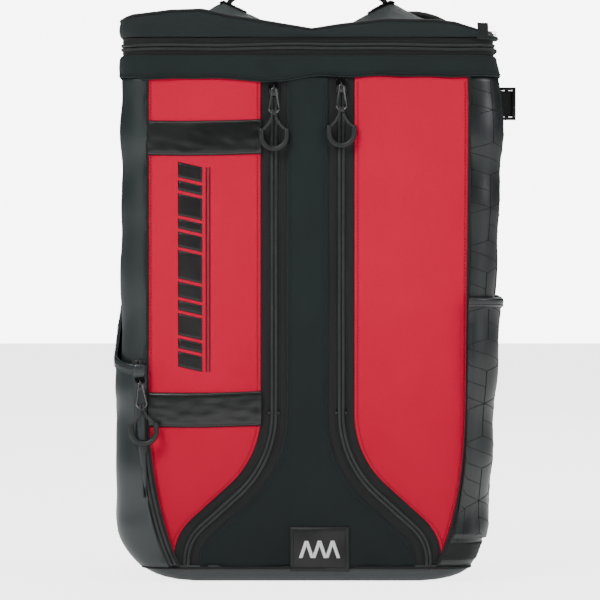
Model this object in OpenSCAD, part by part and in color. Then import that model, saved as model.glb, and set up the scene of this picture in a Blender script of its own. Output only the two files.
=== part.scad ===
// Ski boot bag carried as a backpack: a boxy padded body with two curved front zips,
// a zipped lid that hinges at the rear, side pockets, a haul handle and shoulder straps.
// Millimetres. Origin: centre of the flat base. +X right and -Y front, seen by someone facing the front. +Z up.

/* [Body] */
// Width of the body across the side panels
body_w = 344; // [320:1:420]
// Depth of the body from the front panels to the back panel
body_d = 210; // [180:1:260]
// Height of the front panels, up to the top band
panel_h = 466; // [440:1:560]
// Radius of the upright corners, seen from above
corner_r = 24; // [18:1:30]
// Radius of the lower corners, seen from the front
base_r = 54; // [45:1:66]
// Thickness of a padded panel
wall = 3; // [2.4:0.1:4]
// Height of the base panel's turned-up edge
base_h = 14; // [10:1:20]

/* [Front panels] */
// Distance from the side of the body to the outer edge of a coloured panel
edge_in = 24.5; // [24:0.5:36]
// Height where the outer edge of a coloured panel starts to curve inwards
edge_bend_z = 165; // [140:1:200]
// Height of the centre of the upper glossy strip
upper_strip_z = 410; // [380:1:430]
// Height of the centre of the lower glossy strip
lower_strip_z = 160; // [150:1:230]
// Height of a glossy strip
strip_h = 32; // [20:1:45]
// Thickness of a sewn-on strip, patch or hem
trim_t = 0.8; // [0.5:0.1:1.2]
// Width of the square patch
patch_w = 55; // [40:1:65]
// Height of the patch
patch_h = 41; // [30:1:50]
// Height of the patch's lower edge
patch_z = 10; // [6:1:20]

/* [Zips] */
// Distance from the middle of the bag to a front zip, on its straight run
zip_x = 31; // [26:0.5:40]
// Height where a front zip starts to curve outwards
zip_bend_z = 155; // [145:1:180]
// Angle of the slanted run of a front zip
zip_slant = 48; // [40:1:54]
// Radius of a front zip's upper bend
zip_r_upper = 100; // [80:1:110]
// Radius of a front zip's lower bend
zip_r_lower = 40; // [30:1:48]
// Half of the visible width of a zip tape
tape_half = 12; // [10:0.5:14]
// Thickness of a zip tape
tape_t = 1.0; // [0.8:0.1:1.4]
// Depth that a zip tape lies below the panels
tape_set = 0.9; // [0.6:0.1:1.2]
// Width of one half of a zip coil
coil_w = 2.2; // [1.8:0.1:2.6]
// Height of a zip coil above its tape
coil_h = 1.8; // [1.4:0.1:2.2]
// Gap between the two halves of a coil, where a slider's neck runs
coil_gap = 1.8; // [1.6:0.1:2.2]
// Clearance between a slider and the zip that it runs on
slide_gap = 0.3; // [0.2:0.05:0.4]
// Height of the centre of the left front slider when closed
left_slider_z = 454; // [430:1:456]
// Height of the centre of the right front slider when closed
right_slider_z = 457; // [430:1:458]

/* [Lid] */
// Height of the band above the front panels
band_h = 18; // [12:1:26]
// Height of one of the two tapes of the lid's zip
lid_tape_h = 9; // [7:0.5:12]
// Height of the lid's skirt above its zip
skirt_h = 20; // [12:1:40]
// Depth of the fixed strip behind the lid's fold
rear_strip_d = 45; // [38:1:60]
// Gap between the lid and the fixed strip
lid_gap = 0.4; // [0.3:0.1:1]

/* [Pulls] */
// Width of a slider's body
slider_w = 9.6; // [8:0.1:10]
// Length of a slider's body
slider_l = 13; // [9:0.5:13]
// Diameter of the wire of a slider's ring
ring_wire = 1.6; // [1.2:0.1:1.8]
// Distance between the two cross wires of a ring
ring_l = 23; // [12:0.5:26]
// Distance between the two side wires of a ring
ring_w = 9; // [8:0.1:11]
// Diameter of the puller's cord
cord_d = 2.4; // [2:0.1:2.8]
// Diameter of the puller's soft tube
tube_d = 5; // [4:0.1:5.4]
// Distance between the two legs of the tube
tube_w = 23; // [14:0.5:24]
// Length of the open cords between ring and tube
cord_l = 14; // [10:0.5:20]
// Length of a straight leg of the tube
tube_l = 7; // [5:0.5:24]

/* [Pockets] */
// Distance that the left pocket stands off the side
left_pocket_out = 6; // [6:0.5:10]
// Height of the left pocket's top at the front
left_pocket_z = 200; // [170:1:230]
// Rise of the left pocket's top per unit of depth
left_pocket_slope = 0.35; // [0.2:0.01:0.45]
// Free depth inside the right pocket
right_pocket_room = 6; // [5:0.5:12]
// Thickness of the right pocket's wall
pocket_wall = 2; // [1.4:0.1:2.6]
// Height of the right pocket's top
right_pocket_z = 262; // [220:1:300]
// Height of the right pocket's lower seam
right_pocket_foot = 40; // [34:1:60]
// Distance from the back panel to the rear edge of both pockets
pocket_rear = 32; // [28:1:60]
// Width of a pocket's hem
hem_h = 12; // [8:0.5:16]

/* [Straps] */
// Width of the webbing
webbing_w = 25; // [20:1:30]
// Thickness of one layer of webbing
webbing_t = 1; // [0.8:0.1:1.4]
// Height of the centre of the side strap
side_strap_z = 446; // [420:1:450]
// Length of the side strap, out from the side
side_strap_l = 29; // [26:1:60]
// Distance from the back panel to the side strap
side_strap_rear = 60; // [50:1:80]
// Width of the slider buckle along its strap
glide_l = 17.5; // [15:0.5:22]
// Thickness of the slider buckle's bars
glide_t = 1.3; // [1:0.1:2]
// Distance between the feet of the haul handle
handle_w = 152; // [120:1:170]
// Height of the haul handle above the lid
handle_h = 38; // [30:1:44]
// Width of the haul handle's strap
handle_d = 24; // [20:1:26]
// Thickness of the haul handle
handle_t = 5; // [3:0.5:8]
// Distance from the back panel to the middle of the haul handle
handle_rear = 21; // [18:1:24]
// Width of a shoulder strap's pad
pad_w = 60; // [50:1:66]
// Thickness of a shoulder strap's pad
pad_t = 10; // [6:1:14]
// Distance from the back panel to a shoulder strap
strap_off = 26; // [22:1:40]
// Radius of a shoulder strap's upper bend, along its middle
strap_r = 55; // [45:1:60]
// Height of the centre of a shoulder strap's upper bend
strap_bend_z = 455; // [440:1:470]
// Height of the lower end of a shoulder strap's pad
pad_end_z = 200; // [160:1:240]
// Thickness of the pads on the back panel
back_pad_t = 8; // [5:1:12]

/* [Inside] */
// Distance from the front face to the boot divider
divider_set = 97; // [80:1:120]
// Thickness of the boot divider
divider_t = 4; // [3:0.5:6]
// Thickness of the stiffeners in the base and the back
board_t = 2; // [1.5:0.1:2.5]
// Thickness of the lining
lining_t = 0.6; // [0.4:0.1:1]

/* [Hidden] */
$fn = 32;
far = 1000;

// Faces and levels of the body
side_x = body_w / 2;
front_y = -body_d / 2;
back_y = body_d / 2;
band_top = panel_h + band_h;
split_z = band_top + lid_tape_h;
skirt_z = split_z + lid_tape_h;
lid_z = skirt_z + skirt_h;
hinge_y = back_y - rear_strip_d;
edge_x = side_x - edge_in;
tip_x = side_x - base_r;
bulge_out = right_pocket_room + pocket_wall;

// Places of the zips: each end and bend follows from the driving dimensions
zip_end_x = tip_x - 6.5;
zip_turn = 1 - cos(zip_slant);
zip_run = (zip_end_x - zip_x - (zip_r_upper + zip_r_lower) * zip_turn) / sin(zip_slant);
zip_foot_z = zip_bend_z - (zip_r_upper + zip_r_lower) * sin(zip_slant) - zip_run * cos(zip_slant);
neck_w = coil_gap - 2 * slide_gap;
coil_half = coil_gap / 2 + coil_w;

// The left pocket's zip: a straight run, then along the outer edge of the coloured panel
pocket_zip_out = 4.5;
pocket_zip_turn = 0.36; // where it meets the edge's curve, from 0 at its top to 1 at its foot
pocket_zip_foot = 0.97;
pocket_zip_y = front_y - 5;
pocket_tape_half = 5.5;
pocket_zip_top = [edge_x + 8, left_pocket_z + 5];
pocket_zip_low = edge_curve(pocket_zip_turn) + [pocket_zip_out, 0];
pocket_zip_run = pocket_zip_top - pocket_zip_low;
pocket_zip_tilt = atan2(pocket_zip_run[0], pocket_zip_run[1]);
pocket_slider_drop = 22;
pocket_slider_place = pocket_zip_top - pocket_zip_run / norm(pocket_zip_run) * pocket_slider_drop;

// Sliders on the right side of the lid's zip
lid_front_slider_y = 8;
lid_rear_slider_y = 26;

// Shoulder strap
strap_x = side_x - 22 - strap_r;
strap_start = 150;
strap_y = back_y + strap_off;
strap_root_w = 24;
lock_h = 26;
lock_bar = 4;
anchor_z = 40;
anchor_h = 40;
anchor_w = webbing_w + 6;
webbing_x = strap_x + strap_r;

// Half the free height of the slot in the slider buckle
glide_slot = webbing_t + slide_gap;

function reverse(list) = [for (i = [len(list) - 1:-1:0]) list[i]];
function mirrored(list) = [for (p = reverse(list)) [-p[0], p[1]]];
function arc(centre, r, from, to, steps = 8) =
    [for (i = [0:steps]) let (a = from + (to - from) * i / steps) centre + r * [cos(a), sin(a)]];

// The body seen from above; a negative inset is outside it
function plan(inset) =
    let (x = side_x - corner_r, y = back_y - corner_r, r = corner_r - inset)
    concat(
        arc([x, y], r, 0, 90), arc([-x, y], r, 90, 180),
        arc([-x, -y], r, 180, 270), arc([x, -y], r, 270, 360)
    );

// The body seen from the front
function silhouette(inset) =
    let (r = base_r - inset, x = side_x - inset)
    concat(arc([tip_x, base_r], r, -90, 0, 10), [[x, far], [-x, far]], arc([-tip_x, base_r], r, 180, 270, 10));

// Outer edge of the right coloured panel: a cubic curve below edge_bend_z
function edge_curve(t) =
    let (a = [edge_x, edge_bend_z], b = a - [0, 55], c = [tip_x + 18, base_h + 36], d = [tip_x, base_h])
    pow(1 - t, 3) * a + 3 * t * pow(1 - t, 2) * b + 3 * t * t * (1 - t) * c + pow(t, 3) * d;
function edge_line() = concat([[edge_x, panel_h]], [for (i = [0:12]) edge_curve(i / 12)]);

// A line beside the right front zip, at a distance outwards from the middle of its coil
function zip_line(out) =
    let (upper = [zip_x + zip_r_upper, zip_bend_z], lower = [zip_end_x - zip_r_lower, zip_foot_z])
    concat(
        [[zip_x + out, panel_h]],
        arc(upper, zip_r_upper - out, 180, 180 + zip_slant, 10),
        arc(lower, zip_r_lower + out, zip_slant, 0, 8),
        zip_foot_z > base_h ? [[zip_end_x + out, base_h]] : []
    );
function zip_band(inner, outer) = concat(zip_line(inner), reverse(zip_line(outer)));

// A line beside the left pocket's zip, seen from the front and drawn on the right
function pocket_zip_line(out) = concat(
    [pocket_zip_top + [out, 0]],
    [for (i = [0:8])
        edge_curve(pocket_zip_turn + (pocket_zip_foot - pocket_zip_turn) * i / 8) + [pocket_zip_out + out, 0]]
);
function pocket_zip_band(inner, outer) = concat(pocket_zip_line(inner), reverse(pocket_zip_line(outer)));

// An outline drawn in the front view, from depth y0 back to depth y1
module across(outline, y0, y1)
    translate([0, y1, 0]) rotate([90, 0, 0]) linear_extrude(y1 - y0) polygon(outline);

// Everything between two depths, two heights and two sides
module zone(x0, x1, y0, y1, z0, z1) translate([x0, y0, z0]) cube([x1 - x0, y1 - y0, z1 - z0]);

// The filled body between two heights
module block(inset, z0, z1) intersection() {
    translate([0, 0, z0]) linear_extrude(z1 - z0) polygon(plan(inset));
    across(silhouette(inset), -far, far);
}

// A layer of the body's outside, between two insets
module layer(outer, inner, z0, z1) difference() {
    block(outer, z0, z1);
    block(inner, z0 - 1, z1 + 1);
}

// A band around the body, between two insets, above the lower corners
module ring(outer, inner, z0, z1) translate([0, 0, z0]) linear_extrude(z1 - z0) difference() {
    polygon(plan(outer));
    polygon(plan(inner));
}

// What lies between the outer edges of the coloured panels, seen from the front
module between_edges(y0, y1) across(concat(edge_line(), mirrored(edge_line())), y0, y1);

module panel_colour() color([0.78, 0.13, 0.24]) children();
module polyester_colour() color([0.10, 0.13, 0.13]) children();
module gloss_colour() color([0.24, 0.26, 0.27]) children();
module webbing_colour() color([0.09, 0.09, 0.09]) children();
module metal_colour() color([0.16, 0.16, 0.17]) children();

// ---- Body ----
module base_panel() gloss_colour() layer(0, wall, 0, base_h);

module base_board() color("dimgray")
    zone(-tip_x + 4, tip_x - 4, front_y + corner_r, back_y - corner_r, wall, wall + board_t);

module back_panel() polyester_colour() intersection() {
    between_edges(back_y - wall, back_y);
    zone(-far, far, 0, far, base_h, panel_h);
}

module frame_sheet() color("dimgray")
    zone(-edge_x + 20, edge_x - 20, back_y - wall - board_t, back_y - wall, base_r, panel_h - 20);

module right_side_shell() difference() {
    intersection() {
        layer(0, wall, base_h, panel_h);
        zone(0, far, -far, far, 0, far);
    }
    between_edges(-far, far);
}
module left_side_panel() gloss_colour() mirror([1, 0, 0]) right_side_shell();
module right_side_panel() gloss_colour() right_side_shell();

// ---- Front ----
module right_front_panel() intersection() {
    between_edges(front_y, front_y + wall);
    across(concat(zip_line(tape_half), [[far, base_h], [far, panel_h]]), front_y - 1, front_y + far);
}
module front_right_panel() panel_colour() right_front_panel();
module front_left_panel() panel_colour() mirror([1, 0, 0]) right_front_panel();

module above_base() intersection() {
    children();
    zone(-far, far, -far, far, base_h, far);
}

module front_centre_panel() polyester_colour() above_base()
    across(concat(zip_line(-tape_half), mirrored(zip_line(-tape_half))), front_y, front_y + wall);

module right_front_tape() intersection() {
    between_edges(front_y + tape_set, front_y + tape_set + tape_t);
    union() {
        across(zip_band(-tape_half, -coil_gap / 2), -far, 0);
        across(zip_band(coil_gap / 2, tape_half), -far, 0);
    }
}
module front_right_tape() webbing_colour() right_front_tape();
module front_left_tape() webbing_colour() mirror([1, 0, 0]) right_front_tape();

module right_front_coil() above_base() for (half = [[-coil_half, -coil_gap / 2], [coil_gap / 2, coil_half]])
    across(zip_band(half[0], half[1]), front_y + tape_set - coil_h, front_y + tape_set);
module front_right_coil() webbing_colour() right_front_coil();
module front_left_coil() webbing_colour() mirror([1, 0, 0]) right_front_coil();

// Clamped stops at the foot of each straight run, where a front slider's travel ends
stop_w = 1.6;
stop_h = 1.5;
stop_l = 4;
module zip_stops() metal_colour() for (side = [-1, 1]) for (half = [-1, 1])
    translate([side * zip_x + half * (coil_half + 1.2) - stop_w / 2, front_y + tape_set - stop_h, zip_bend_z])
        cube([stop_w, stop_h, stop_l]);

module strip(z) webbing_colour()
    zone(-edge_x, -zip_x - tape_half, front_y - trim_t, front_y, z - strip_h / 2, z + strip_h / 2);
module upper_strip() strip(upper_strip_z);
module lower_strip() intersection() {
    strip(lower_strip_z);
    // it stops short of the edge, where the pocket's tape is sewn on
    translate([1.5, 0, 0])
        across(mirrored(concat(zip_line(tape_half + 1.5), reverse(edge_line()))), front_y - far, 0);
}

patch_x = 11;
module patch() webbing_colour()
    zone(patch_x - patch_w / 2, patch_x + patch_w / 2, front_y - 1.5 * trim_t, front_y, patch_z, patch_z + patch_h);

// ---- Rim and rear of the top ----
module top_band() polyester_colour() ring(0, wall, panel_h, band_top);

module before_hinge() intersection() {
    children();
    zone(-far, far, -far, hinge_y - lid_gap, -far, far);
}

module lid_lower_tape() webbing_colour() before_hinge()
    ring(tape_set, tape_set + tape_t, band_top, split_z - coil_gap / 2);
module lid_lower_coil() webbing_colour() before_hinge()
    ring(tape_set - coil_h, tape_set, split_z - coil_half, split_z - coil_gap / 2);

module rear_yoke() polyester_colour() intersection() {
    difference() {
        block(0, band_top, lid_z);
        block(wall, band_top - 1, lid_z - wall);
    }
    zone(-far, far, hinge_y, far, -far, far);
}

handle_anchor_w = 18;
handle_anchor_t = 1.6;
module handle_anchors() webbing_colour() for (side = [-1, 1])
    translate([side * handle_w / 2 - handle_anchor_w / 2, back_y - handle_rear - handle_d / 2, lid_z])
        cube([handle_anchor_w, handle_d, handle_anchor_t]);

// ---- Inside ----
module boot_divider() color("dimgray") intersection() {
    block(wall, wall + board_t, band_top - 4);
    zone(-far, far, front_y + divider_set, front_y + divider_set + divider_t, 0, far);
}

module main_lining() color("gray") intersection() {
    layer(wall + board_t, wall + board_t + lining_t, wall + board_t, band_top - 4);
    zone(-far, far, front_y + divider_set + divider_t, far, 0, far);
}

// ---- Left pocket: flat, with a zip down its front edge ----
module below_pocket_top(drop) // the space below the pocket's sloping top, lowered by drop
    translate([-far, 0, 0]) rotate([90, 0, 90]) linear_extrude(2 * far)
        polygon([
            [front_y - 50, 0],
            [back_y, 0],
            [back_y, left_pocket_z - drop + left_pocket_slope * body_d],
            [front_y - 50, left_pocket_z - drop - left_pocket_slope * 50]
        ]);

module left_pocket_zone() intersection() {
    zone(-far, 0, -far, back_y - pocket_rear, base_h, far);
    mirror([1, 0, 0]) across(
        concat(pocket_zip_line(pocket_tape_half), [[far, base_h], [far, far], [pocket_zip_top[0] + pocket_tape_half, far]]),
        -far, far
    );
}
module left_pocket() gloss_colour() intersection() {
    layer(-left_pocket_out, 0, base_h, far / 2);
    left_pocket_zone();
    below_pocket_top(0);
}
module left_pocket_hem() polyester_colour() intersection() {
    layer(-left_pocket_out - trim_t, -left_pocket_out, base_h, far / 2);
    left_pocket_zone();
    difference() {
        below_pocket_top(0);
        below_pocket_top(hem_h);
    }
}
module left_pocket_tape() webbing_colour() mirror([1, 0, 0]) intersection() {
    union() {
        across(pocket_zip_band(-pocket_tape_half, -coil_gap / 2), pocket_zip_y + tape_set, pocket_zip_y + tape_set + tape_t);
        across(pocket_zip_band(coil_gap / 2, pocket_tape_half), pocket_zip_y + tape_set, pocket_zip_y + tape_set + tape_t);
        across(pocket_zip_band(-pocket_tape_half, -pocket_tape_half + 0.8), pocket_zip_y + tape_set, front_y);
    }
    zone(0, far, -far, far, base_h, far);
}
module left_pocket_coil() webbing_colour() mirror([1, 0, 0]) {
    across(pocket_zip_band(-coil_half, -coil_gap / 2), pocket_zip_y + tape_set - coil_h, pocket_zip_y + tape_set);
    across(pocket_zip_band(coil_gap / 2, coil_half), pocket_zip_y + tape_set - coil_h, pocket_zip_y + tape_set);
}

// ---- Right pocket: open at the top ----
module right_pocket_zone() difference() {
    zone(0, far, -far, back_y - pocket_rear, right_pocket_foot, right_pocket_z);
    between_edges(-far, far);
    zone(0, edge_x + 2, -far, far, 0, far);
}
module right_pocket() gloss_colour() intersection() {
    right_pocket_zone();
    difference() {
        layer(-bulge_out, 0, right_pocket_foot, right_pocket_z);
        intersection() {
            layer(-right_pocket_room, -0.01, right_pocket_foot + pocket_wall, right_pocket_z + 1);
            zone(edge_x + 2 + pocket_wall, far, -far, back_y - pocket_rear - pocket_wall, right_pocket_foot + pocket_wall, far);
        }
    }
}
module right_pocket_hem() polyester_colour() intersection() {
    right_pocket_zone();
    layer(-bulge_out - trim_t, -bulge_out, right_pocket_z - hem_h, right_pocket_z);
}

// Flat ribbed webbing around the lower right corner
corner_webbing_z = 20;
module corner_webbing() webbing_colour() intersection() {
    layer(-2 * trim_t, 0, corner_webbing_z, right_pocket_foot - 4);
    difference() {
        zone(0, far, -far, back_y - pocket_rear, 0, far);
        zone(0, edge_x - 12, -far, far, 0, far);
        between_edges(-far, far);
    }
}

// ---- Back ----
back_pad_x = 62;
back_pad_w = 88;
module back_pad(side) color("dimgray")
    zone(
        side * back_pad_x - back_pad_w / 2, side * back_pad_x + back_pad_w / 2,
        back_y, back_y + back_pad_t, base_r + 16, panel_h - 26
    );
module left_back_pad() back_pad(-1);
module right_back_pad() back_pad(1);

module strap_anchors() webbing_colour() for (side = [-1, 1])
    zone(side * webbing_x - anchor_w / 2, side * webbing_x + anchor_w / 2, back_y, back_y + 2, anchor_z, anchor_z + anchor_h);

// ---- Lid ----
module lid_top() polyester_colour() before_hinge()
    translate([0, 0, lid_z - wall]) linear_extrude(wall) polygon(plan(0));
module lid_skirt() polyester_colour() before_hinge() ring(0, wall, skirt_z, lid_z - wall);
module lid_upper_tape() webbing_colour() before_hinge()
    ring(tape_set, tape_set + tape_t, split_z + coil_gap / 2, skirt_z);
module lid_upper_coil() webbing_colour() before_hinge()
    ring(tape_set - coil_h, tape_set, split_z + coil_gap / 2, split_z + coil_half);

// A short fabric tab on the right front corner of the lid
tab_w = 12;
tab_t = 1.2;
tab_l = 15;
module lid_tab() webbing_colour()
    translate([side_x - corner_r, front_y + corner_r, skirt_z - 2]) rotate([0, 0, 30])
        translate([-tab_w / 2, -corner_r - tab_t, 0]) cube([tab_w, tab_t, tab_l]);

// ---- Sliders and pulls, drawn around a slider's own middle: -Y outwards, the mouth at +Z ----
plate_t = 1;
under_t = 0.8;
lip_t = 0.8;
top_y = tape_set - coil_h - slide_gap;
under_y = tape_set + tape_t + slide_gap;
wire_y = top_y - plate_t - 2;
bridge_w = 2;
bridge_t = 1.2;
bridge_l = 6.6;
bridge_z = 0.5;
lip_x = coil_half + slide_gap;

module slider(lips) {
    zone(-slider_w / 2, slider_w / 2, top_y - plate_t, top_y, -slider_l / 2, slider_l / 2);
    zone(-slider_w / 2 + 0.4, slider_w / 2 - 0.4, under_y, under_y + under_t, -slider_l / 2, slider_l / 2);
    zone(-neck_w / 2, neck_w / 2, top_y - 0.01, under_y + 0.01, slider_l / 2 - 3.5, slider_l / 2 - 1);
    for (side = lips) intersection() {
        zone(
            side * slider_w / 2 - lip_t, side * slider_w / 2 + lip_t,
            top_y - 0.01, tape_set - slide_gap, -slider_l / 2, slider_l / 2
        );
        zone(-slider_w / 2, slider_w / 2, -far, far, -far, far);
        union() {
            zone(lip_x, far, -far, far, -far, far);
            zone(-far, -lip_x, -far, far, -far, far);
        }
    }
    // the bridge that holds the ring
    bar_y = wire_y - 1.2;
    for (z = [-1, 1] * (bridge_l - bridge_t) / 2)
        zone(
            -bridge_w / 2, bridge_w / 2, bar_y - 1, top_y - plate_t + 0.01,
            bridge_z + z - bridge_t / 2, bridge_z + z + bridge_t / 2
        );
    zone(-bridge_w / 2, bridge_w / 2, bar_y - 1, bar_y, bridge_z - bridge_l / 2, bridge_z + bridge_l / 2);
}

// A straight rod with round ends between two points in the XZ plane
module rod(a, b, d) {
    along = b - a;
    translate([a[0], 0, a[1]]) rotate([0, atan2(along[0], along[1]), 0]) cylinder(d = d, h = norm(along));
    translate([a[0], 0, a[1]]) sphere(d = d);
    translate([b[0], 0, b[1]]) sphere(d = d);
}

module wire_ring() translate([0, wire_y, bridge_z]) {
    rod([-ring_w / 2, 0], [ring_w / 2, 0], ring_wire);
    rod([-ring_w / 2, -ring_l], [ring_w / 2, -ring_l], ring_wire);
    for (side = [-1, 1]) rod([side * ring_w / 2, 0], [side * ring_w / 2, -ring_l], ring_wire);
}

// Cord looped round the lower wire of the ring, then a soft tube bent into a U
sleeve_r = ring_wire / 2 + 0.2;
sleeve_t = 1.7;
sleeve_l = 5;
module pull() translate([0, wire_y, bridge_z - ring_l]) {
    rotate([0, 90, 0]) difference() {
        cylinder(r = sleeve_r + sleeve_t, h = sleeve_l, center = true);
        cylinder(r = sleeve_r, h = sleeve_l + 1, center = true);
    }
    for (side = [-1, 1]) {
        rod([side * (sleeve_l / 2 - 1), -sleeve_r - sleeve_t], [side * (tube_w / 2 - 0.3), -cord_l - 0.6], cord_d);
        translate([side * tube_w / 2, 0, -cord_l - tube_l]) cylinder(d = tube_d, h = tube_l);
    }
    translate([0, 0, -cord_l - tube_l]) rotate([-90, 0, 0])
        rotate_extrude(angle = 180) translate([tube_w / 2, 0]) circle(d = tube_d);
}

module at_front_left() translate([-zip_x, front_y, left_slider_z]) children();
module at_front_right() translate([zip_x, front_y, right_slider_z]) children();
module at_pocket() translate([-pocket_slider_place[0], pocket_zip_y, pocket_slider_place[1]])
    rotate([0, -pocket_zip_tilt, 0]) children();
// on the right side, travelling forwards (turn = 1) or backwards (turn = -1)
module at_lid(y, turn) translate([side_x, y, split_z]) rotate([0, 0, 90]) rotate([0, turn * 90, 0]) children();

module front_left_slider() metal_colour() at_front_left() slider([-1, 1]);
module front_right_slider() metal_colour() at_front_right() slider([-1, 1]);
module pocket_slider() metal_colour() at_pocket() slider([-1, 1]);
module lid_front_slider() metal_colour() at_lid(lid_front_slider_y, 1) slider([1]);
module lid_rear_slider() metal_colour() at_lid(lid_rear_slider_y, -1) slider([-1]);

module front_left_ring() metal_colour() at_front_left() wire_ring();
module front_right_ring() metal_colour() at_front_right() wire_ring();
module pocket_ring() metal_colour() at_pocket() wire_ring();

module front_left_pull() webbing_colour() at_front_left() pull();
module front_right_pull() webbing_colour() at_front_right() pull();
module pocket_pull() webbing_colour() at_pocket() pull();

// The lid's pulls have no ring: a thin cord loops through the slider's bridge
short_cord_l = slider_l / 2 + bridge_z + tube_d / 2 + 0.5; // keeps the tube clear of the slider's foot
short_tube_l = 22;
module short_pull() {
    loop_x = bridge_w / 2 + slide_gap + ring_wire / 2;
    rod([-loop_x, 0], [loop_x, 0], ring_wire);
    for (side = [-1, 1]) rod([side * loop_x, 0], [side * loop_x, -short_cord_l], ring_wire);
    rod([0, -short_cord_l], [0, -short_cord_l - short_tube_l], tube_d);
}
module lid_front_pull() webbing_colour() at_lid(lid_front_slider_y, 1) translate([0, wire_y, bridge_z]) short_pull();
module lid_rear_pull() webbing_colour() at_lid(lid_rear_slider_y, -1) translate([0, wire_y, bridge_z]) short_pull();

// ---- Side strap and its slider buckle ----
side_strap_y = back_y - side_strap_rear;
strap_root_gap = 1.4;
module side_strap() webbing_colour()
    zone(side_x + strap_root_gap, side_x + side_strap_l, side_strap_y - webbing_t, side_strap_y + webbing_t,
        side_strap_z - webbing_w / 2, side_strap_z + webbing_w / 2);

module slider_buckle() color("black") translate([side_x + side_strap_l - glide_l - 0.5, side_strap_y, side_strap_z]) {
    reach = webbing_w / 2 + slide_gap;
    depth = glide_slot + glide_t;
    rail = 3;
    bar = [3.5, glide_t, 2 * reach + 0.02];
    for (side = [-1, 1]) translate([0, -depth, side * (reach + rail / 2) - rail / 2]) cube([glide_l, 2 * depth, rail]);
    for (x = [0, glide_l - bar[0]]) translate([x, -depth, -reach - 0.01]) cube(bar);
    translate([(glide_l - bar[0]) / 2, glide_slot, -reach - 0.01]) cube(bar);
}

// ---- Haul handle: a flat strap bent into an arch ----
handle_lift = 5;
function arch(rx, rz, steps = 20) = [for (i = [0:steps]) let (a = 180 - 180 * i / steps)
    [rx * sign(cos(a)) * pow(abs(cos(a)), 0.8), handle_lift + (rz - handle_lift) * pow(sin(a), 0.8)]];
module haul_handle() webbing_colour() translate([0, 0, lid_z])
    across(concat(arch(handle_w / 2 + handle_t / 2, handle_h), reverse(arch(handle_w / 2 - handle_t / 2, handle_h - handle_t))),
        back_y - handle_rear - handle_d / 2, back_y - handle_rear + handle_d / 2);

// ---- Shoulder straps ----
pad_end_share = 0.82; // width of the lower end over the full width
strap_root_h = 20;
function strap_edge(out) = concat(
    arc([strap_x, strap_bend_z], strap_r + out, strap_start, 0, 14),
    [[strap_x + strap_r + out * pad_end_share, pad_end_z]]
);
module strap_pad() {
    across(concat(strap_edge(pad_w / 2), reverse(strap_edge(-pad_w / 2))), strap_y, strap_y + pad_t);
    // the sewn root, which nearly meets the back panel beside the sway axis
    root_x = strap_x + strap_r * cos(strap_start) - 5;
    root_z = strap_bend_z + strap_r * sin(strap_start);
    zone(root_x, root_x + strap_root_w, back_y + 2, strap_y + 1, root_z - strap_root_h / 2, root_z + strap_root_h / 2);
}
module right_strap_pad() color("dimgray") strap_pad();
module left_strap_pad() color("dimgray") mirror([1, 0, 0]) strap_pad();

// Ladder lock below the pad, and the webbing that slants in to the anchor
module strap_webbing() {
    lock_w = webbing_w + 8;
    lock_z = pad_end_z - lock_h;
    slot_h = (lock_h - 3 * lock_bar) / 2;
    difference() {
        zone(webbing_x - lock_w / 2, webbing_x + lock_w / 2, strap_y + 1, strap_y + 7, lock_z, pad_end_z);
        for (z = [lock_bar, 2 * lock_bar + slot_h])
            zone(webbing_x - webbing_w / 2, webbing_x + webbing_w / 2, strap_y, strap_y + 8, lock_z + z, lock_z + z + slot_h);
    }
    translate([webbing_x - webbing_w / 2, 0, 0]) rotate([90, 0, 90]) linear_extrude(webbing_w) polygon([
        [back_y + 5, anchor_z + 8],
        [back_y + 7, anchor_z + 8],
        [strap_y + 4, lock_z],
        [strap_y + 2, lock_z]
    ]);
}
module right_strap_webbing() webbing_colour() strap_webbing();
module left_strap_webbing() webbing_colour() mirror([1, 0, 0]) strap_webbing();

base_panel();
base_board();
back_panel();
frame_sheet();
left_side_panel();
right_side_panel();
front_left_panel();
front_right_panel();
front_centre_panel();
front_left_tape();
front_right_tape();
front_left_coil();
front_right_coil();
zip_stops();
top_band();
lid_lower_tape();
lid_lower_coil();
rear_yoke();
boot_divider();
main_lining();
left_pocket();
left_pocket_hem();
left_pocket_tape();
left_pocket_coil();
right_pocket();
right_pocket_hem();
upper_strip();
lower_strip();
patch();
corner_webbing();
left_back_pad();
right_back_pad();
strap_anchors();
handle_anchors();
lid_top();
lid_skirt();
lid_upper_tape();
lid_upper_coil();
lid_tab();
front_left_slider();
front_right_slider();
pocket_slider();
lid_front_slider();
lid_rear_slider();
front_left_ring();
front_right_ring();
pocket_ring();
front_left_pull();
front_right_pull();
pocket_pull();
lid_front_pull();
lid_rear_pull();
side_strap();
slider_buckle();
haul_handle();
left_strap_pad();
right_strap_pad();
left_strap_webbing();
right_strap_webbing();
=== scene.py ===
"""The looks of a ski boot bag: cloth, zips, pulls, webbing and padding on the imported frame."""
import math
import random

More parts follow.
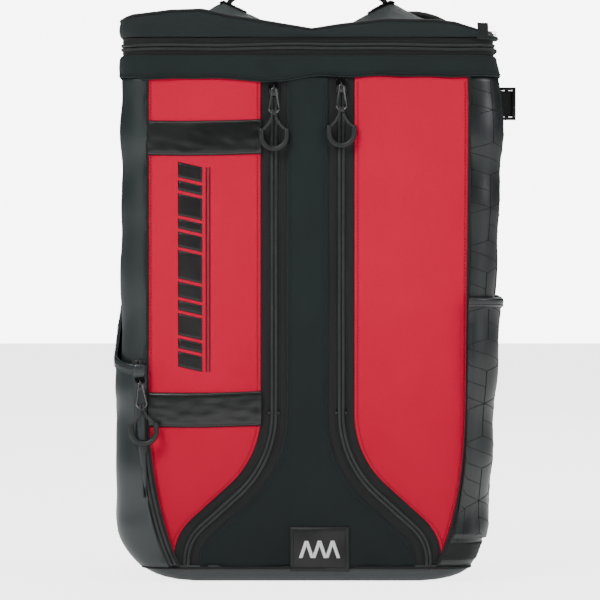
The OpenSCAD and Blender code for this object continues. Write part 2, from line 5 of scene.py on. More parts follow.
import bmesh
import bpy
import numpy as np
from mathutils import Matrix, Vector


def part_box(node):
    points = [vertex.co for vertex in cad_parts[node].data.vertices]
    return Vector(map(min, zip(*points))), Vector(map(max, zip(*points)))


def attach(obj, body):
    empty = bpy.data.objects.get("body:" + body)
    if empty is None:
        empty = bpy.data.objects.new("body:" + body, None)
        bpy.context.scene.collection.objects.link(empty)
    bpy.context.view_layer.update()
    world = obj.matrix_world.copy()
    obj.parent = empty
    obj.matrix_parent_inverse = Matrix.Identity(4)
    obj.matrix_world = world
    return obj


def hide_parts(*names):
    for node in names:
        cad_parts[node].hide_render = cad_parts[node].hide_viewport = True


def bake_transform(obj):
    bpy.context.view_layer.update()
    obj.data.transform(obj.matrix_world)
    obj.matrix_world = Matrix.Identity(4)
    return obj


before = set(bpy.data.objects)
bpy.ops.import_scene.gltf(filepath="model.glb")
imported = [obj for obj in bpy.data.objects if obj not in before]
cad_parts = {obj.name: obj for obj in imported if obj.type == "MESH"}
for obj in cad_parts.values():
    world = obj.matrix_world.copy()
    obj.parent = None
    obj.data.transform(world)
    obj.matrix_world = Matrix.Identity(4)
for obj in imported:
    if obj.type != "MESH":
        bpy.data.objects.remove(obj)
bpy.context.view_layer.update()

MM = 0.001


# ---------------------------------------------------------------- measures, from the frame
def low(node):
    return np.array(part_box(node)[0])


def high(node):
    return np.array(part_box(node)[1])


def middle(node):
    return (low(node) + high(node)) / 2


SIDE_X = high("lid_skirt")[0]
FRONT_Y = low("front_centre_panel")[1]
BACK_Y = high("back_panel")[1]
PANEL_TOP = high("front_centre_panel")[2]
BAND_TOP = high("top_band")[2]
SKIRT_Z = low("lid_skirt")[2]
SPLIT_Z = (high("lid_lower_tape")[2] + low("lid_upper_tape")[2]) / 2
LID_Z = high("lid_top")[2]
HINGE_Y = low("rear_yoke")[1]
BASE_H = high("base_panel")[2]
WALL = BACK_Y - low("back_panel")[1]
EDGE_X = -low("upper_strip")[0]
CORNER_R = low("base_board")[1] - FRONT_Y
TIP_X = high("base_board")[0] + 4 * MM
BASE_R = SIDE_X - TIP_X
EDGE_BEND_Z = 165 * MM

ZIP_X = middle("front_right_slider")[0]
ZIP_BEND_Z = 155 * MM
ZIP_SLANT = math.radians(48)
ZIP_R_UPPER = 100 * MM
ZIP_R_LOWER = 40 * MM
ZIP_END_X = TIP_X - 6.5 * MM
TAPE_HALF = 12 * MM
COIL_PITCH = 1.7 * MM
COIL_WIRE = 0.36 * MM


# ---------------------------------------------------------------- small sums
def smooth(x, a, b):
    """0 below a, 1 above b, and a smooth step between them."""
    t = np.clip((x - a) / (b - a), 0, 1)
    return t * t * (3 - 2 * t)


def hump(x, at, reach):
    return np.exp(-(((x - at) / reach) ** 2))


def ripples(u, v, seed, length, count=7, stretch=1.0):
    """Soft uneven folds, from -1 to 1: a few waves of about one length in seeded directions."""
    draw = random.Random(seed)
    total = np.zeros(np.broadcast(u, v).shape)
    for _ in range(count):
        angle = draw.uniform(0, math.pi)
        wave = 2 * math.pi / (length * draw.uniform(0.6, 1.7))
        across = math.cos(angle) * u + math.sin(angle) * v * stretch
        total += np.sin(
            across * wave + draw.uniform(0, 6.3) + 0.8 * np.sin(wave * 0.37 * v + draw.uniform(0, 6.3))
        )
    return total / count ** 0.7


def along(points):
    """Distance from the first point of a line to each of its points."""
    steps = np.linalg.norm(np.diff(points, axis=0), axis=1)
    return np.concatenate([[0], np.cumsum(steps)])


def resample(points, spots):
    """Points on a line at the given distances from its start."""
    dist = along(points)
    return np.stack([np.interp(spots, dist, points[:, k]) for k in range(points.shape[1])], axis=1)


def evenly(points, step):
    length = along(points)[-1]
    return resample(points, np.linspace(0, length, max(2, int(length / step) + 1)))


def unit(v):
    return v / np.maximum(np.linalg.norm(v, axis=-1, keepdims=True), 1e-12)


# ---------------------------------------------------------------- the outlines of the body
def edge_curve(steps=24):
    """Outer edge of the right coloured panel, below its bend: a cubic curve, from the top down."""
    ends = np.array([
        [EDGE_X, EDGE_BEND_Z], [EDGE_X, EDGE_BEND_Z - 55 * MM],
        [TIP_X + 18 * MM, BASE_H + 36 * MM], [TIP_X, BASE_H],
    ])
    t = np.linspace(0, 1, steps + 1)[:, None]
    share = [(1 - t) ** 3, 3 * t * (1 - t) ** 2, 3 * t * t * (1 - t), t ** 3]
    return sum(s * e for s, e in zip(share, ends))


EDGE_LINE = np.concatenate([[[EDGE_X, LID_Z]], edge_curve()])


def edge_at(z):
    return np.interp(z, EDGE_LINE[::-1, 1], EDGE_LINE[::-1, 0])


def arc_points(centre, radius, start, end, steps):
    a = np.linspace(start, end, steps + 1)
    way = np.stack([np.cos(a), np.sin(a)], axis=1)
    return np.array(centre) + radius * way, way


def quarter(x, y, radius, start, count):
    """Points on a quarter turn about (x, y), from an angle in degrees."""
    a = np.radians(start + np.linspace(0, 90, count))
    return np.stack([x + radius * np.cos(a), y + radius * np.sin(a)], axis=1)


def zip_route():
    """Middle of the right front zip and its outward normals, seen from the front, from the top down."""
    turn = 1 - math.cos(ZIP_SLANT)
    run = (ZIP_END_X - ZIP_X - (ZIP_R_UPPER + ZIP_R_LOWER) * turn) / math.sin(ZIP_SLANT)
    foot = ZIP_BEND_Z - (ZIP_R_UPPER + ZIP_R_LOWER) * math.sin(ZIP_SLANT) - run * math.cos(ZIP_SLANT)
    upper, upper_way = arc_points(
        (ZIP_X + ZIP_R_UPPER, ZIP_BEND_Z), ZIP_R_UPPER, math.pi, math.pi + ZIP_SLANT, 30
    )
    lower, lower_way = arc_points((ZIP_END_X - ZIP_R_LOWER, foot), ZIP_R_LOWER, ZIP_SLANT, 0, 20)
    straight = np.array([[ZIP_X, PANEL_TOP + 2 * MM]])
    end = np.array([[ZIP_END_X, BASE_H - 4 * MM]])
    level = np.array([[1.0, 0.0]])
    line = np.concatenate([straight, upper, lower, end])
    return line, np.concatenate([level, -upper_way, lower_way, level])


ZIP_MIDDLE, ZIP_NORMAL = zip_route()


def zip_at(z, out):
    """How far from the middle of the bag a line beside the front zip is, at a height."""
    line = ZIP_MIDDLE + out * ZIP_NORMAL
    return np.interp(z, line[::-1, 1], line[::-1, 0])


def half_width(z):
    """Half of the body's width at a height: its lower corners are round."""
    dip = np.clip(BASE_R - z, 0, BASE_R)
    return TIP_X + np.sqrt(np.maximum(BASE_R ** 2 - dip ** 2, 0))


def slouch(x, z):
    """How far the loose right side stands out above its pocket, and is pressed in below."""
    heights = np.array([0, 30, 76, 150, 214, 262, 330, 400, 440, 464, 478, 560]) * MM
    moves = np.array([-4, -8, -8, -5.5, -2.5, 0.5, 4.5, 7.5, 8, 5, 1, 0]) * MM
    return np.interp(z, heights, moves) * smooth(x / SIDE_X, 0.8, 1.0)


def front_relief(x, z):
    """How far the front stands out from its plane: each panel is a soft pillow between its seams."""
    ax = np.abs(x)
    inner, outer, edge = zip_at(z, -TAPE_HALF), zip_at(z, TAPE_HALF), edge_at(z)
    rise = np.sin(np.pi * np.clip((z - BASE_H) / (PANEL_TOP - BASE_H), 0, 1)) ** 0.6
    centre = (
        np.clip(1 - (ax / inner) ** 2, 0, 1) ** 1.2 * (1.5 * MM + 4 * MM * smooth(inner, 20 * MM, 80 * MM))
        * rise
    )
    share = np.clip((ax - outer) / np.maximum(edge - outer, 1 * MM), 0, 1)
    panel = np.sin(np.pi * share) ** 1.3 * (5.5 * MM) * rise * smooth(edge - outer, 0, 60 * MM)
    from_seam = np.minimum(np.abs(ax - np.where(ax < inner, inner, outer)), np.abs(edge - ax))
    calm = smooth(from_seam, 0, 16 * MM)
    folds = (
        ripples(x, z, 11, 75 * MM, stretch=0.6) * 0.9 * MM
        + ripples(x, z, 12, 26 * MM, stretch=0.5) * 0.16 * MM
    )
    low_folds = ripples(x, z, 13, 42 * MM) * 1.3 * MM * smooth(z, 150 * MM, 40 * MM) * (ax < inner)
    pucker = (
        np.sin(z * 2 * np.pi / (13 * MM) + 2 * np.sin(z * 90)) * 0.22 * MM * hump(from_seam, 5 * MM, 4 * MM)
    )
    pillows = np.where(ax < inner, centre, np.where(ax > outer, panel, 0))
    return pillows + (folds + low_folds) * calm + pucker


FOOT_R = 12 * MM


def front_point(x, z, out=0.0):
    """A point on the front, standing out by a distance."""
    x, z = np.asarray(x, float), np.asarray(z, float)
    tuck = FOOT_R - np.sqrt(np.maximum(FOOT_R ** 2 - np.clip(FOOT_R - z, 0, FOOT_R) ** 2, 0))
    y = FRONT_Y - front_relief(x, z) - out + tuck
    return np.stack([x + slouch(x, z), y, z + 0 * x], axis=-1)


# ---------------------------------------------------------------- shader sums
class Sum:
    """A number that varies over a surface. Sums on it add Math nodes to its finish."""

    def __init__(self, finish, socket):
        self.finish, self.socket = finish, socket

    def _do(self, operation, *others):
        return self.finish.node("ShaderNodeMath", {"operation": operation}, self, *others)

    def __add__(self, other):
        return self._do("ADD", other)

    def __radd__(self, other):
        return self._do("ADD", other)

    def __sub__(self, other):
        return self._do("SUBTRACT", other)

    def __rsub__(self, other):
        return self.finish.node("ShaderNodeMath", {"operation": "SUBTRACT"}, other, self)

    def __mul__(self, other):
        return self._do("MULTIPLY", other)

    def __rmul__(self, other):
        return self._do("MULTIPLY", other)

    def __truediv__(self, other):
        return self._do("DIVIDE", other)

    def __pow__(self, other):
        return self._do("POWER", other)

    def sin(self):
        return self._do("SINE")

    def abs(self):
        return self._do("ABSOLUTE")

    def fract(self):
        return self._do("FRACT")

    def floor(self):
        return self._do("FLOOR")

    def over(self, other):
        return self._do("GREATER_THAN", other)

    def most(self, other):
        return self._do("MAXIMUM", other)

    def least(self, other):
        return self._do("MINIMUM", other)


def shade(*srgb):
    """A colour given as eye values from 0 to 255."""
    return tuple(((c / 255 + 0.055) / 1.055) ** 2.4 if c > 10 else c / 255 / 12.92 for c in srgb) + (1.0,)


class Finish:
    """One material. lay() gives the cloth's own directions, which every sewn piece carries."""

    def __init__(self, name, colour, roughness=0.6, **constants):
        self.material = bpy.data.materials.new(name)
        self.material.use_nodes = True
        self.tree = self.material.node_tree
        self.tree.nodes.clear()
        self.shader = self.tree.nodes.new("ShaderNodeBsdfPrincipled")
        out = self.tree.nodes.new("ShaderNodeOutputMaterial")
        self.tree.links.new(self.shader.outputs[0], out.inputs[0])
        self.shader.inputs["Base Color"].default_value = colour
        self.shader.inputs["Roughness"].default_value = roughness
        for socket, value in constants.items():
            self.shader.inputs[socket.replace("_", " ")].default_value = value

    def node(self, kind, settings, *inputs, out=0, **named):
        made = self.tree.nodes.new(kind)
        for key, value in settings.items():
            setattr(made, key, value)
        for key, value in list(enumerate(inputs)) + [(k.replace("_", " "), v) for k, v in named.items()]:
            if isinstance(value, Sum):
                self.tree.links.new(value.socket, made.inputs[key])
            else:
                made.inputs[key].default_value = value
        return Sum(self, made.outputs[out])

    def place(self):
        """The point's place on the object, in metres."""
        return self.node("ShaderNodeTexCoord", {}, out="Object")

    def lay(self):
        """Across and along the cloth in metres, and the distance from its nearest edge."""
        vector = self.node("ShaderNodeAttribute", {"attribute_name": "lay"}, out="Vector")
        return [self.node("ShaderNodeSeparateXYZ", {}, vector, out=k) for k in ("X", "Y", "Z")]

    def noise(self, size, detail=2.0, where=None):
        """Uneven patches of about one size, from 0 to 1."""
        return self.node(
            "ShaderNodeTexNoise", {}, Vector=where or self.place(), Scale=1 / size, Detail=detail
        )

    def mix(self, share, a, b):
        """From colour a to colour b."""
        made = self.tree.nodes.new("ShaderNodeMix")
        made.data_type = "RGBA"
        for socket, value in ((0, share), (6, a), (7, b)):
            if isinstance(value, Sum):
                self.tree.links.new(value.socket, made.inputs[socket])
            else:
                made.inputs[socket].default_value = value
        return Sum(self, made.outputs[2])

    def set(self, socket, value):
        self.tree.links.new(value.socket, self.shader.inputs[socket])
        return self

    def relief(self, height, depth):
        """A bump of real depth, in metres, from a height of 0 to 1."""
        return self.set(
            "Normal", self.node("ShaderNodeBump", {}, Strength=1.0, Distance=depth, Height=height)
        )


# strength of the darkening towards the bag's foot: partly painted shade for less light low on the bag, partly
# a darker tone of the cloth there
FOOT_SHADE = 0.34


def cloth_finish(name, light, dark, thread, roughness, depth, sheen=0.15, wear=0.12, blotch=0.35):
    """Plain weave: threads over and under, uneven dye, edges rubbed paler, and a painted darkening towards
    the bag's foot.
    """
    f = Finish(name, light, roughness, Sheen_Weight=sheen, Sheen_Roughness=0.5, Specular_IOR_Level=0.2)
    across, length, edge = f.lay()
    u, v = across * (math.pi / thread), length * (math.pi / thread)
    warp, weft = u.sin().abs(), v.sin().abs()
    check = ((across / thread).floor() + (length / thread).floor()) * 0.5
    over = check.fract() * 2
    height = over * warp + (1 - over) * weft
    slub = f.noise(1.4 * MM, 3)
    patches = f.noise(60 * MM, 2)
    # the weave's low points are painted darker: painted shade between the threads; slub and patches are the
    # dye's own unevenness
    tone = (height * 0.35 + slub * 0.4 + patches * blotch).least(1.0)
    rubbed = (1 - edge / (1.6 * MM)).most(0.0) * f.noise(5 * MM, 3) * wear * 4
    colour = f.mix(tone, dark, light)
    colour = f.mix(rubbed.least(0.35), colour, tuple(min(1, c * 1.5 + 0.02) for c in light[:3]) + (1.0,))
    height_up = f.node("ShaderNodeSeparateXYZ", {}, f.place(), out="Z")
    # darker towards the foot: partly painted shade for light falling off low on the bag, partly the cloth's
    # own darker tone there
    foot_shade = (1 - height_up / (260 * MM)).most(0.0) * FOOT_SHADE
    f.set("Base Color", f.mix(foot_shade, colour, tuple(0.3 * c for c in dark[:3]) + (1.0,)))
    f.set("Roughness", roughness + slub * 0.12 - 0.06)
    return f.relief(height * 0.8 + slub * 0.35, depth)


def coated_finish(name, light, dark, roughness, coat=0.25):
    """Coated cloth: a smooth skin with a fine grain, faint wrinkles and paler rubbed edges."""
    f = Finish(name, light, roughness, Coat_Roughness=0.3, Coat_Weight=coat, Specular_IOR_Level=0.55)
    edge = f.lay()[2]
    grain = f.noise(0.9 * MM, 4)
    clouds = f.noise(45 * MM, 3)
    creases = (f.noise(14 * MM, 2) - 0.5).abs()
    rubbed = (1 - edge / (2.2 * MM)).most(0.0) * f.noise(7 * MM, 3)
    f.set("Base Color", f.mix((clouds * 0.7 + grain * 0.2 + rubbed * 0.5).least(1.0), dark, light))
    f.set("Roughness", roughness - 0.08 + clouds * 0.16 + grain * 0.1)
    return f.relief(grain * 0.25 + (1 - creases * 6).most(0.0) * 0.12 + clouds * 0.2, 0.25 * MM)


def ribbed_finish(name, light, dark, rib, depth=0.25, roughness=0.72):
    """Webbing or tape: ribs across the strap with a slanted thread in each."""
    f = Finish(name, light, roughness, Sheen_Weight=0.12, Specular_IOR_Level=0.28)
    across, length, edge = f.lay()
    bars = (length * (math.pi / rib)).sin().abs()
    shift = (length / rib).floor() * 0.5
    threads = ((across / (rib * 0.9) + shift) * math.pi).sin().abs()
    slub = f.noise(1.1 * MM, 3)
    # the grooves between ribs and threads are painted darker: painted shade; slub is the yarn's own
    # unevenness
    tone = (bars * 0.35 + threads * 0.25 + slub * 0.4).least(1.0)
    rubbed = (1 - edge / (1.2 * MM)).most(0.0) * f.noise(4 * MM, 3) * 0.5
    f.set("Base Color", f.mix((tone + rubbed).least(1.0), dark, light))
    f.set("Roughness", roughness - 0.06 + slub * 0.12)
    return f.relief(bars * 0.6 + threads * 0.4, depth * MM)


def hard_finish(name, light, dark, roughness, metallic=0.0, coat=0.0, grain=0.5, depth=0.03):
    """Moulded plastic, rubber or lacquered metal: fine grain, handling marks and uneven gloss."""
    f = Finish(name, light, roughness, Metallic=metallic, Coat_Weight=coat, Coat_Roughness=0.15)
    fine = f.noise(grain * MM, 3)
    marks = f.noise(6 * MM, 4)
    f.set("Base Color", f.mix((fine * 0.3 + marks * 0.7).least(1.0), dark, light))
    f.set("Roughness", roughness - 0.08 + marks * 0.18 + fine * 0.04)
    return f.relief(fine * 0.7 + marks * 0.3, depth * MM)


def mesh_finish(name, light, dark, cell):
    """Spacer mesh over foam: rows of small round holes."""
    f = Finish(name, light, 0.85, Sheen_Weight=0.2, Specular_IOR_Level=0.2)
    where = f.place()
    cells = f.node(
        "ShaderNodeTexVoronoi", {"feature": "DISTANCE_TO_EDGE"}, Vector=where, Scale=1 / cell,
        Randomness=0.25,
    )
    hole = (cells * 4).least(1.0)
    fuzz = f.noise(0.8 * MM, 3)
    # painted shade: the holes are painted dark, standing in for the shade down inside the mesh; fuzz is the
    # yarn's own unevenness
    f.set("Base Color", f.mix((1 - hole) * 0.7 + fuzz * 0.3, dark, light))
    f.set("Roughness", 0.8 + fuzz * 0.15)
    return f.relief((1 - hole) * 0.9 + fuzz * 0.2, 0.7 * MM)


def braid_finish(name, light, dark):
    """Braided cord: strands crossing in small diamonds."""
    f = Finish(name, light, 0.62, Sheen_Weight=0.15)
    across, length, _ = f.lay()
    one = ((across / (1.25 * MM) + length / (1.5 * MM)) * math.pi).sin().abs()
    two = ((across / (1.25 * MM) - length / (1.5 * MM)) * math.pi).sin().abs()
    strands = one.most(two)
    # painted shade: the cord is darker in the hollows between its crossing strands; the noise is the yarn's
    # own unevenness
    f.set("Base Color", f.mix(strands * 0.7 + f.noise(1 * MM, 2) * 0.3, dark, light))
    f.set("Roughness", 0.55 + strands * 0.15)
    return f.relief(strands, 0.18 * MM)


RED = cloth_finish(
    "coloured cloth", shade(224, 0, 62), shade(194, 0, 44), 0.55 * MM, 0.8, 0.1 * MM, sheen=0.0, wear=0.03
)
DARK = cloth_finish(
    "dark cloth", shade(34, 44, 44), shade(13, 18, 18), 0.6 * MM, 0.72, 0.12 * MM, sheen=0.06, wear=0.06
)
TOP_DARK = cloth_finish(
    "lid cloth", shade(38, 47, 47), shade(13, 18, 18), 0.6 * MM, 0.66, 0.12 * MM, sheen=0.08, wear=0.06
)
COATED = coated_finish("coated cloth", shade(44, 54, 54), shade(20, 26, 26), 0.34)
EMBOSSED = coated_finish("embossed cloth", shade(36, 43, 43), shade(14, 18, 18), 0.34)
# painted shade: near-black colour standing in for the shade inside the embossed cloth's pressed grooves
GROOVE_SHADE = hard_finish("embossed line", shade(12, 14, 14), shade(6, 8, 8), 0.6)
STRIP = coated_finish("glossy strip", shade(25, 27, 27), shade(8, 9, 9), 0.3, coat=0.12)
TAPE = ribbed_finish("zip tape", shade(30, 31, 31), shade(11, 12, 12), 0.9 * MM, depth=0.16)
COIL = hard_finish("zip coil", shade(92, 96, 96), shade(34, 36, 36), 0.34, depth=0.02)
METAL = hard_finish(
    "black lacquered metal", shade(46, 47, 48), shade(20, 20, 21), 0.16, metallic=0.7, coat=0.6, depth=0.01
)
WIRE = hard_finish(
    "black lacquered wire", shade(120, 122, 124), shade(70, 71, 72), 0.2, metallic=0.8, coat=0.4, depth=0.01
)
CORD = braid_finish("braided cord", shade(40, 42, 42), shade(11, 12, 12))
TUBE = hard_finish("soft tube", shade(30, 34, 34), shade(16, 19, 19), 0.5, grain=0.4, depth=0.03)
WEBBING = ribbed_finish("webbing", shade(34, 36, 36), shade(11, 12, 12), 1.5 * MM, depth=0.35)
BINDING = ribbed_finish("binding", shade(26, 28, 28), shade(9, 10, 10), 1.1 * MM, depth=0.18)
BUCKLE = hard_finish("moulded buckle", shade(26, 27, 28), shade(11, 12, 12), 0.4, grain=0.35, depth=0.04)
LINING = cloth_finish("lining cloth", shade(112, 118, 120), shade(70, 75, 77), 0.5 * MM, 0.6, 0.06 * MM)
FOAM = mesh_finish("spacer mesh", shade(36, 39, 40), shade(8, 9, 9), 2.6 * MM)
PATCH = hard_finish("moulded patch", shade(20, 22, 22), shade(9, 10, 10), 0.45, grain=0.6, depth=0.06)
MARK = hard_finish("pale moulded mark", shade(240, 241, 242), shade(214, 216, 218), 0.5, depth=0.03)
INK = hard_finish("black print", shade(20, 14, 16), shade(8, 6, 7), 0.4, grain=0.6, depth=0.03)
THREAD = hard_finish("black thread", shade(34, 38, 38), shade(11, 13, 13), 0.6, grain=0.3, depth=0.05)
RED_THREAD = hard_finish("coloured thread", shade(150, 6, 30), shade(96, 2, 14), 0.6, grain=0.3, depth=0.05)


# ---------------------------------------------------------------- making pieces
def settle_piece(piece, body, slot, *nodes):
    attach(piece, body)
    if nodes:
        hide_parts(*nodes)
    return piece


def across_joint(piece, slot, first, second, start, end, *nodes):
    """Cloth that crosses a joint: hides the listed imported parts and keeps the piece where it stands,
    attached to neither body.
    """
    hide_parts(*nodes)
    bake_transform(piece)


def raw_piece(name, verts, faces, finish, lay=None, flat=False):
    mesh = bpy.data.meshes.new(name)
    mesh.from_pydata([tuple(v) for v in verts], [], faces)
    mesh.polygons.foreach_set("use_smooth", [not flat] * len(mesh.polygons))
    if lay is not None:
        mesh.attributes.new("lay", "FLOAT_VECTOR", "POINT").data.foreach_set(
            "vector", np.asarray(lay, np.float32).ravel()
        )
    mesh.materials.append(finish.material)
    mesh.validate()
    piece = bpy.data.objects.new(name, mesh)
    bpy.context.scene.collection.objects.link(piece)
    return piece


def grid_normals(rows, loop):
    down = np.gradient(rows, axis=0)
    if loop:
        across = (np.roll(rows, -1, axis=1) - np.roll(rows, 1, axis=1)) / 2
    else:
        across = np.gradient(rows, axis=1)
    return unit(np.cross(across, down))


def lay_of(rows, loop):
    """Across, along, and distance from the nearest edge, for each point of a grid."""
    across = np.concatenate(
        [np.zeros((len(rows), 1)), np.cumsum(np.linalg.norm(np.diff(rows, axis=1), axis=2), axis=1)], axis=1
    )
    mid = rows[:, rows.shape[1] // 2]
    length = np.broadcast_to(along(mid)[:, None], across.shape)
    edge = np.minimum(length, length.max() - length)
    if not loop:
        edge = np.minimum(edge, np.minimum(across, across[:, -1:] - across))
    return np.stack([across, length, edge], axis=2)


def sheet_mesh(rows, thick, loop=False):
    """Points, faces and lay of a closed sheet: the grid as its outside, and a parallel inside. The outside
    faces the side from which the columns run left to right as the rows run down."""
    n, m = rows.shape[:2]
    normal = grid_normals(rows, loop)
    lay = lay_of(rows, loop)
    verts = np.concatenate([rows.reshape(-1, 3), (rows + normal * thick).reshape(-1, 3)])
    faces = []
    last = m if loop else m - 1
    for i in range(n - 1):
        for j in range(last):
            k = (j + 1) % m
            a, b, c, d = i * m + j, i * m + k, (i + 1) * m + k, (i + 1) * m + j
            faces.append((d, c, b, a))
            faces.append((a + n * m, b + n * m, c + n * m, d + n * m))
    first_row = list(range(m))
    rim = [first_row, [(n - 1) * m + j for j in first_row][::-1]]
    if loop:
        rims = [r + r[:1] for r in rim]
    else:
        right = [i * m + m - 1 for i in range(n)]
        left = [i * m for i in range(n)][::-1]
        rims = [rim[0], right, rim[1], left]
    for line in rims:
        for a, b in zip(line, line[1:]):
            faces.append((a, b, b + n * m, a + n * m))
    return verts, faces, np.concatenate([lay.reshape(-1, 3)] * 2)


def cloth(name, rows, finish, thick=1.4 * MM, loop=False):
    verts, faces, lay = sheet_mesh(np.asarray(rows, float), thick, loop)
    return raw_piece(name, verts, faces, finish, lay)


def tube_mesh(line, radius, sides=8, closed=False, squeeze=1.0, up=(0, 0, 1)):
    """A round bar along a line. squeeze flattens it along up."""
    line = np.asarray(line, float)
    if closed:
        ahead = np.roll(line, -1, axis=0) - np.roll(line, 1, axis=0)
    else:
        ahead = np.gradient(line, axis=0)
    ahead = unit(ahead)
    side = np.cross(ahead, np.array(up, float))
    weak = np.linalg.norm(side, axis=1) < 1e-3
    side[weak] = np.cross(ahead[weak], [1.0, 0.2, 0.1])
    for i in range(1, len(side)):
        if side[i] @ side[i - 1] < 0:
            side[i] *= -1
    side = unit(side)
    over = np.cross(side, ahead)
    radius = np.broadcast_to(radius, len(line))
    turn = np.linspace(0, 2 * math.pi, sides, endpoint=False)
    ring = (
        np.cos(turn)[None, :, None] * side[:, None] + np.sin(turn)[None, :, None] * squeeze * over[:, None]
    )
    verts = line[:, None] + ring * radius[:, None, None]
    n = len(line)
    length = along(line)
    lay = np.stack(
        np.broadcast_arrays(
            (turn / (2 * math.pi))[None] * 2 * math.pi * radius[:, None], length[:, None],
            0 * turn[None] + 0.01,
        ),
        axis=2,
    )
    faces = []
    for i in range(n if closed else n - 1):
        k = (i + 1) % n
        for j in range(sides):
            j2 = (j + 1) % sides
            faces.append((i * sides + j, k * sides + j, k * sides + j2, i * sides + j2))
    if not closed:
        faces.append(tuple(range(sides)))
        faces.append(tuple((n - 1) * sides + j for j in reversed(range(sides))))
    return verts.reshape(-1, 3), faces, lay.reshape(-1, 3)


def join_parts(parts):
    """One set of points, faces and lay from several."""
    verts, faces, lay, count = [], [], [], 0
    for v, f, l in parts:
        verts.append(v)
        lay.append(l)
        faces += [tuple(i + count for i in face) for face in f]
        count += len(v)
    return np.concatenate(verts), faces, np.concatenate(lay)


def solid(name, parts, finish, body, slot, *nodes):
    """One piece from several parts, settled on its body."""
    verts, faces, lay = join_parts(parts)
    return settle_piece(raw_piece(name, verts, faces, finish, lay), body, slot, *nodes)


def bars(name, lines, radius, finish, sides=8, closed=False, **shape):
    verts, faces, lay = join_parts([tube_mesh(line, radius, sides, closed, **shape) for line in lines])
    return raw_piece(name, verts, faces, finish, lay)


STITCHES = {}
PATCH_STITCH = {"pitch": 2.4 * MM, "length": 1.8 * MM}
BOX_STITCH = {"pitch": 2.6 * MM, "length": 2 * MM}
TO_FRONT = (0, -1.0, 0)
TO_BACK = (0, 1.0, 0)
TO_RIGHT = (1.0, 0, 0)
UP = (0, 0, 1.0)


def stitch(
    body, line, normals, finish=None, pitch=3.4 * MM, length=2.5 * MM, radius=0.3 * MM, out=0.12 * MM
):
    """Sews along a line: short threads that rise out of the cloth and dip back in."""
    finish = finish or THREAD
    normals = np.broadcast_to(normals, np.shape(line))
    total = along(line)[-1]
    starts = np.arange(0.5 * pitch, total - length, pitch)
    for s in starts:
        spots = s + np.array([0, 0.2, 0.8, 1.0]) * length
        p = resample(line, spots)
        n = unit(near_rows(line, normals, spots))
        lift = np.array([-0.25, 0.12, 0.12, -0.25]) * MM + out
        way = p + n * lift[:, None]
        STITCHES.setdefault((body, finish.material.name), [finish, []])[1].append((way, n, radius))


def near_rows(line, rows, spots):
    dist = along(line)
    return np.stack([np.interp(spots, dist, rows[:, k]) for k in range(rows.shape[1])], axis=1)


def sew_all():
    """Makes every stitch of a body into one piece."""
    for (body, _), (finish, threads) in STITCHES.items():
        parts = []
        for way, n, radius in threads:
            size = radius * np.array([0.6, 1.0, 1.0, 0.6])
            parts.append(tube_mesh(way, size, 5, up=tuple(n[1])))
        slot, word = ("coloured_cloth", "coloured_") if finish is RED_THREAD else ("webbing", "")
        solid(f"{body}_{word}stitching", parts, finish, body, slot)


# ---------------------------------------------------------------- the sides
U_FRONT, U_CORNER, U_REAR, U_BACK = 0.06, 0.14, 0.86, 0.94
SIDE_RUN = 2 * (BACK_Y - CORNER_R)
SIDE_LENGTH = 270 * MM
SIDE_STATIONS = np.concatenate([
    np.linspace(0, U_FRONT, 5), np.linspace(U_FRONT, U_CORNER, 9)[1:],
    np.linspace(U_CORNER, U_REAR, 34)[1:],
    np.linspace(U_REAR, U_BACK, 9)[1:], np.linspace(U_BACK, 1, 5)[1:],
])


def side_relief(u, z):
    """How far a side stands out: soft buckles between its seams."""
    calm = smooth(z, BASE_H, 60 * MM) * smooth(z, PANEL_TOP, PANEL_TOP - 30 * MM)
    calm = calm * smooth(u, 0, 0.05) * smooth(u, 1, 0.95)
    run = u * SIDE_LENGTH
    folds = (
        ripples(run, z, 21, 120 * MM, stretch=1.1) * 1.6 * MM
        + ripples(run, z, 22, 48 * MM, stretch=0.7) * 0.45 * MM
    )
    return calm * (folds + 2.5 * MM * np.sin(np.pi * np.clip((u - 0.1) / 0.8, 0, 1)))


def side_point(side, u, z, out=0.0, start=None, relief=1.0):
    """A point on a side, at share u of the way from the front edge round to the back one. side is 1 or -1."""
    u, z = np.broadcast_arrays(np.asarray(u, float), np.asarray(z, float))
    hw = half_width(z)
    first = edge_at(z) if start is None else start(z)
    r = CORNER_R
    front = np.clip(u / U_FRONT, 0, 1)
    turn = (np.clip((u - U_FRONT) / (U_CORNER - U_FRONT), 0, 1) - 1) * (math.pi / 2)
    back_turn = np.clip((u - U_REAR) / (U_BACK - U_REAR), 0, 1) * (math.pi / 2)
    run = np.clip((u - U_CORNER) / (U_REAR - U_CORNER), 0, 1)
    back = np.clip((u - U_BACK) / (1 - U_BACK), 0, 1)
    angle = turn + back_turn
    centre_y = FRONT_Y + r + run * SIDE_RUN
    x = np.where(u < U_FRONT, first + (hw - r - first) * front, hw - r + r * np.cos(angle))
    x = np.where(u > U_BACK, hw - r + (edge_at(z) - hw + r) * back, x)
    y = centre_y + r * np.sin(angle)
    nx, ny = np.cos(angle), np.sin(angle)
    strap = middle("side_strap")
    calm = 1 - 0.95 * (side > 0) * hump(y, strap[1], 32 * MM) * hump(z, strap[2], 34 * MM)
    off = out + relief * calm * side_relief(u, z)
    x, y = x + nx * off, y + ny * off
    x = side * x
    return np.stack([x + calm * slouch(x, z), y, z + 0 * x], axis=-1)


def side_normal(side, u, z):
    d = 0.004
    a = side_point(side, u + d, z) - side_point(side, u - d, z)
    down = np.array([0, 0, -1.0])
    return unit(np.cross(down, a) * side)


def side_grid(side, u, z, out=0.0, start=None, relief=1.0):
    rows = side_point(side, u, z, out, start, relief)
    return rows if side > 0 else rows[:, ::-1]


def levels(top, foot, step):
    return np.linspace(top, foot, max(2, int(round((top - foot) / step)) + 1))


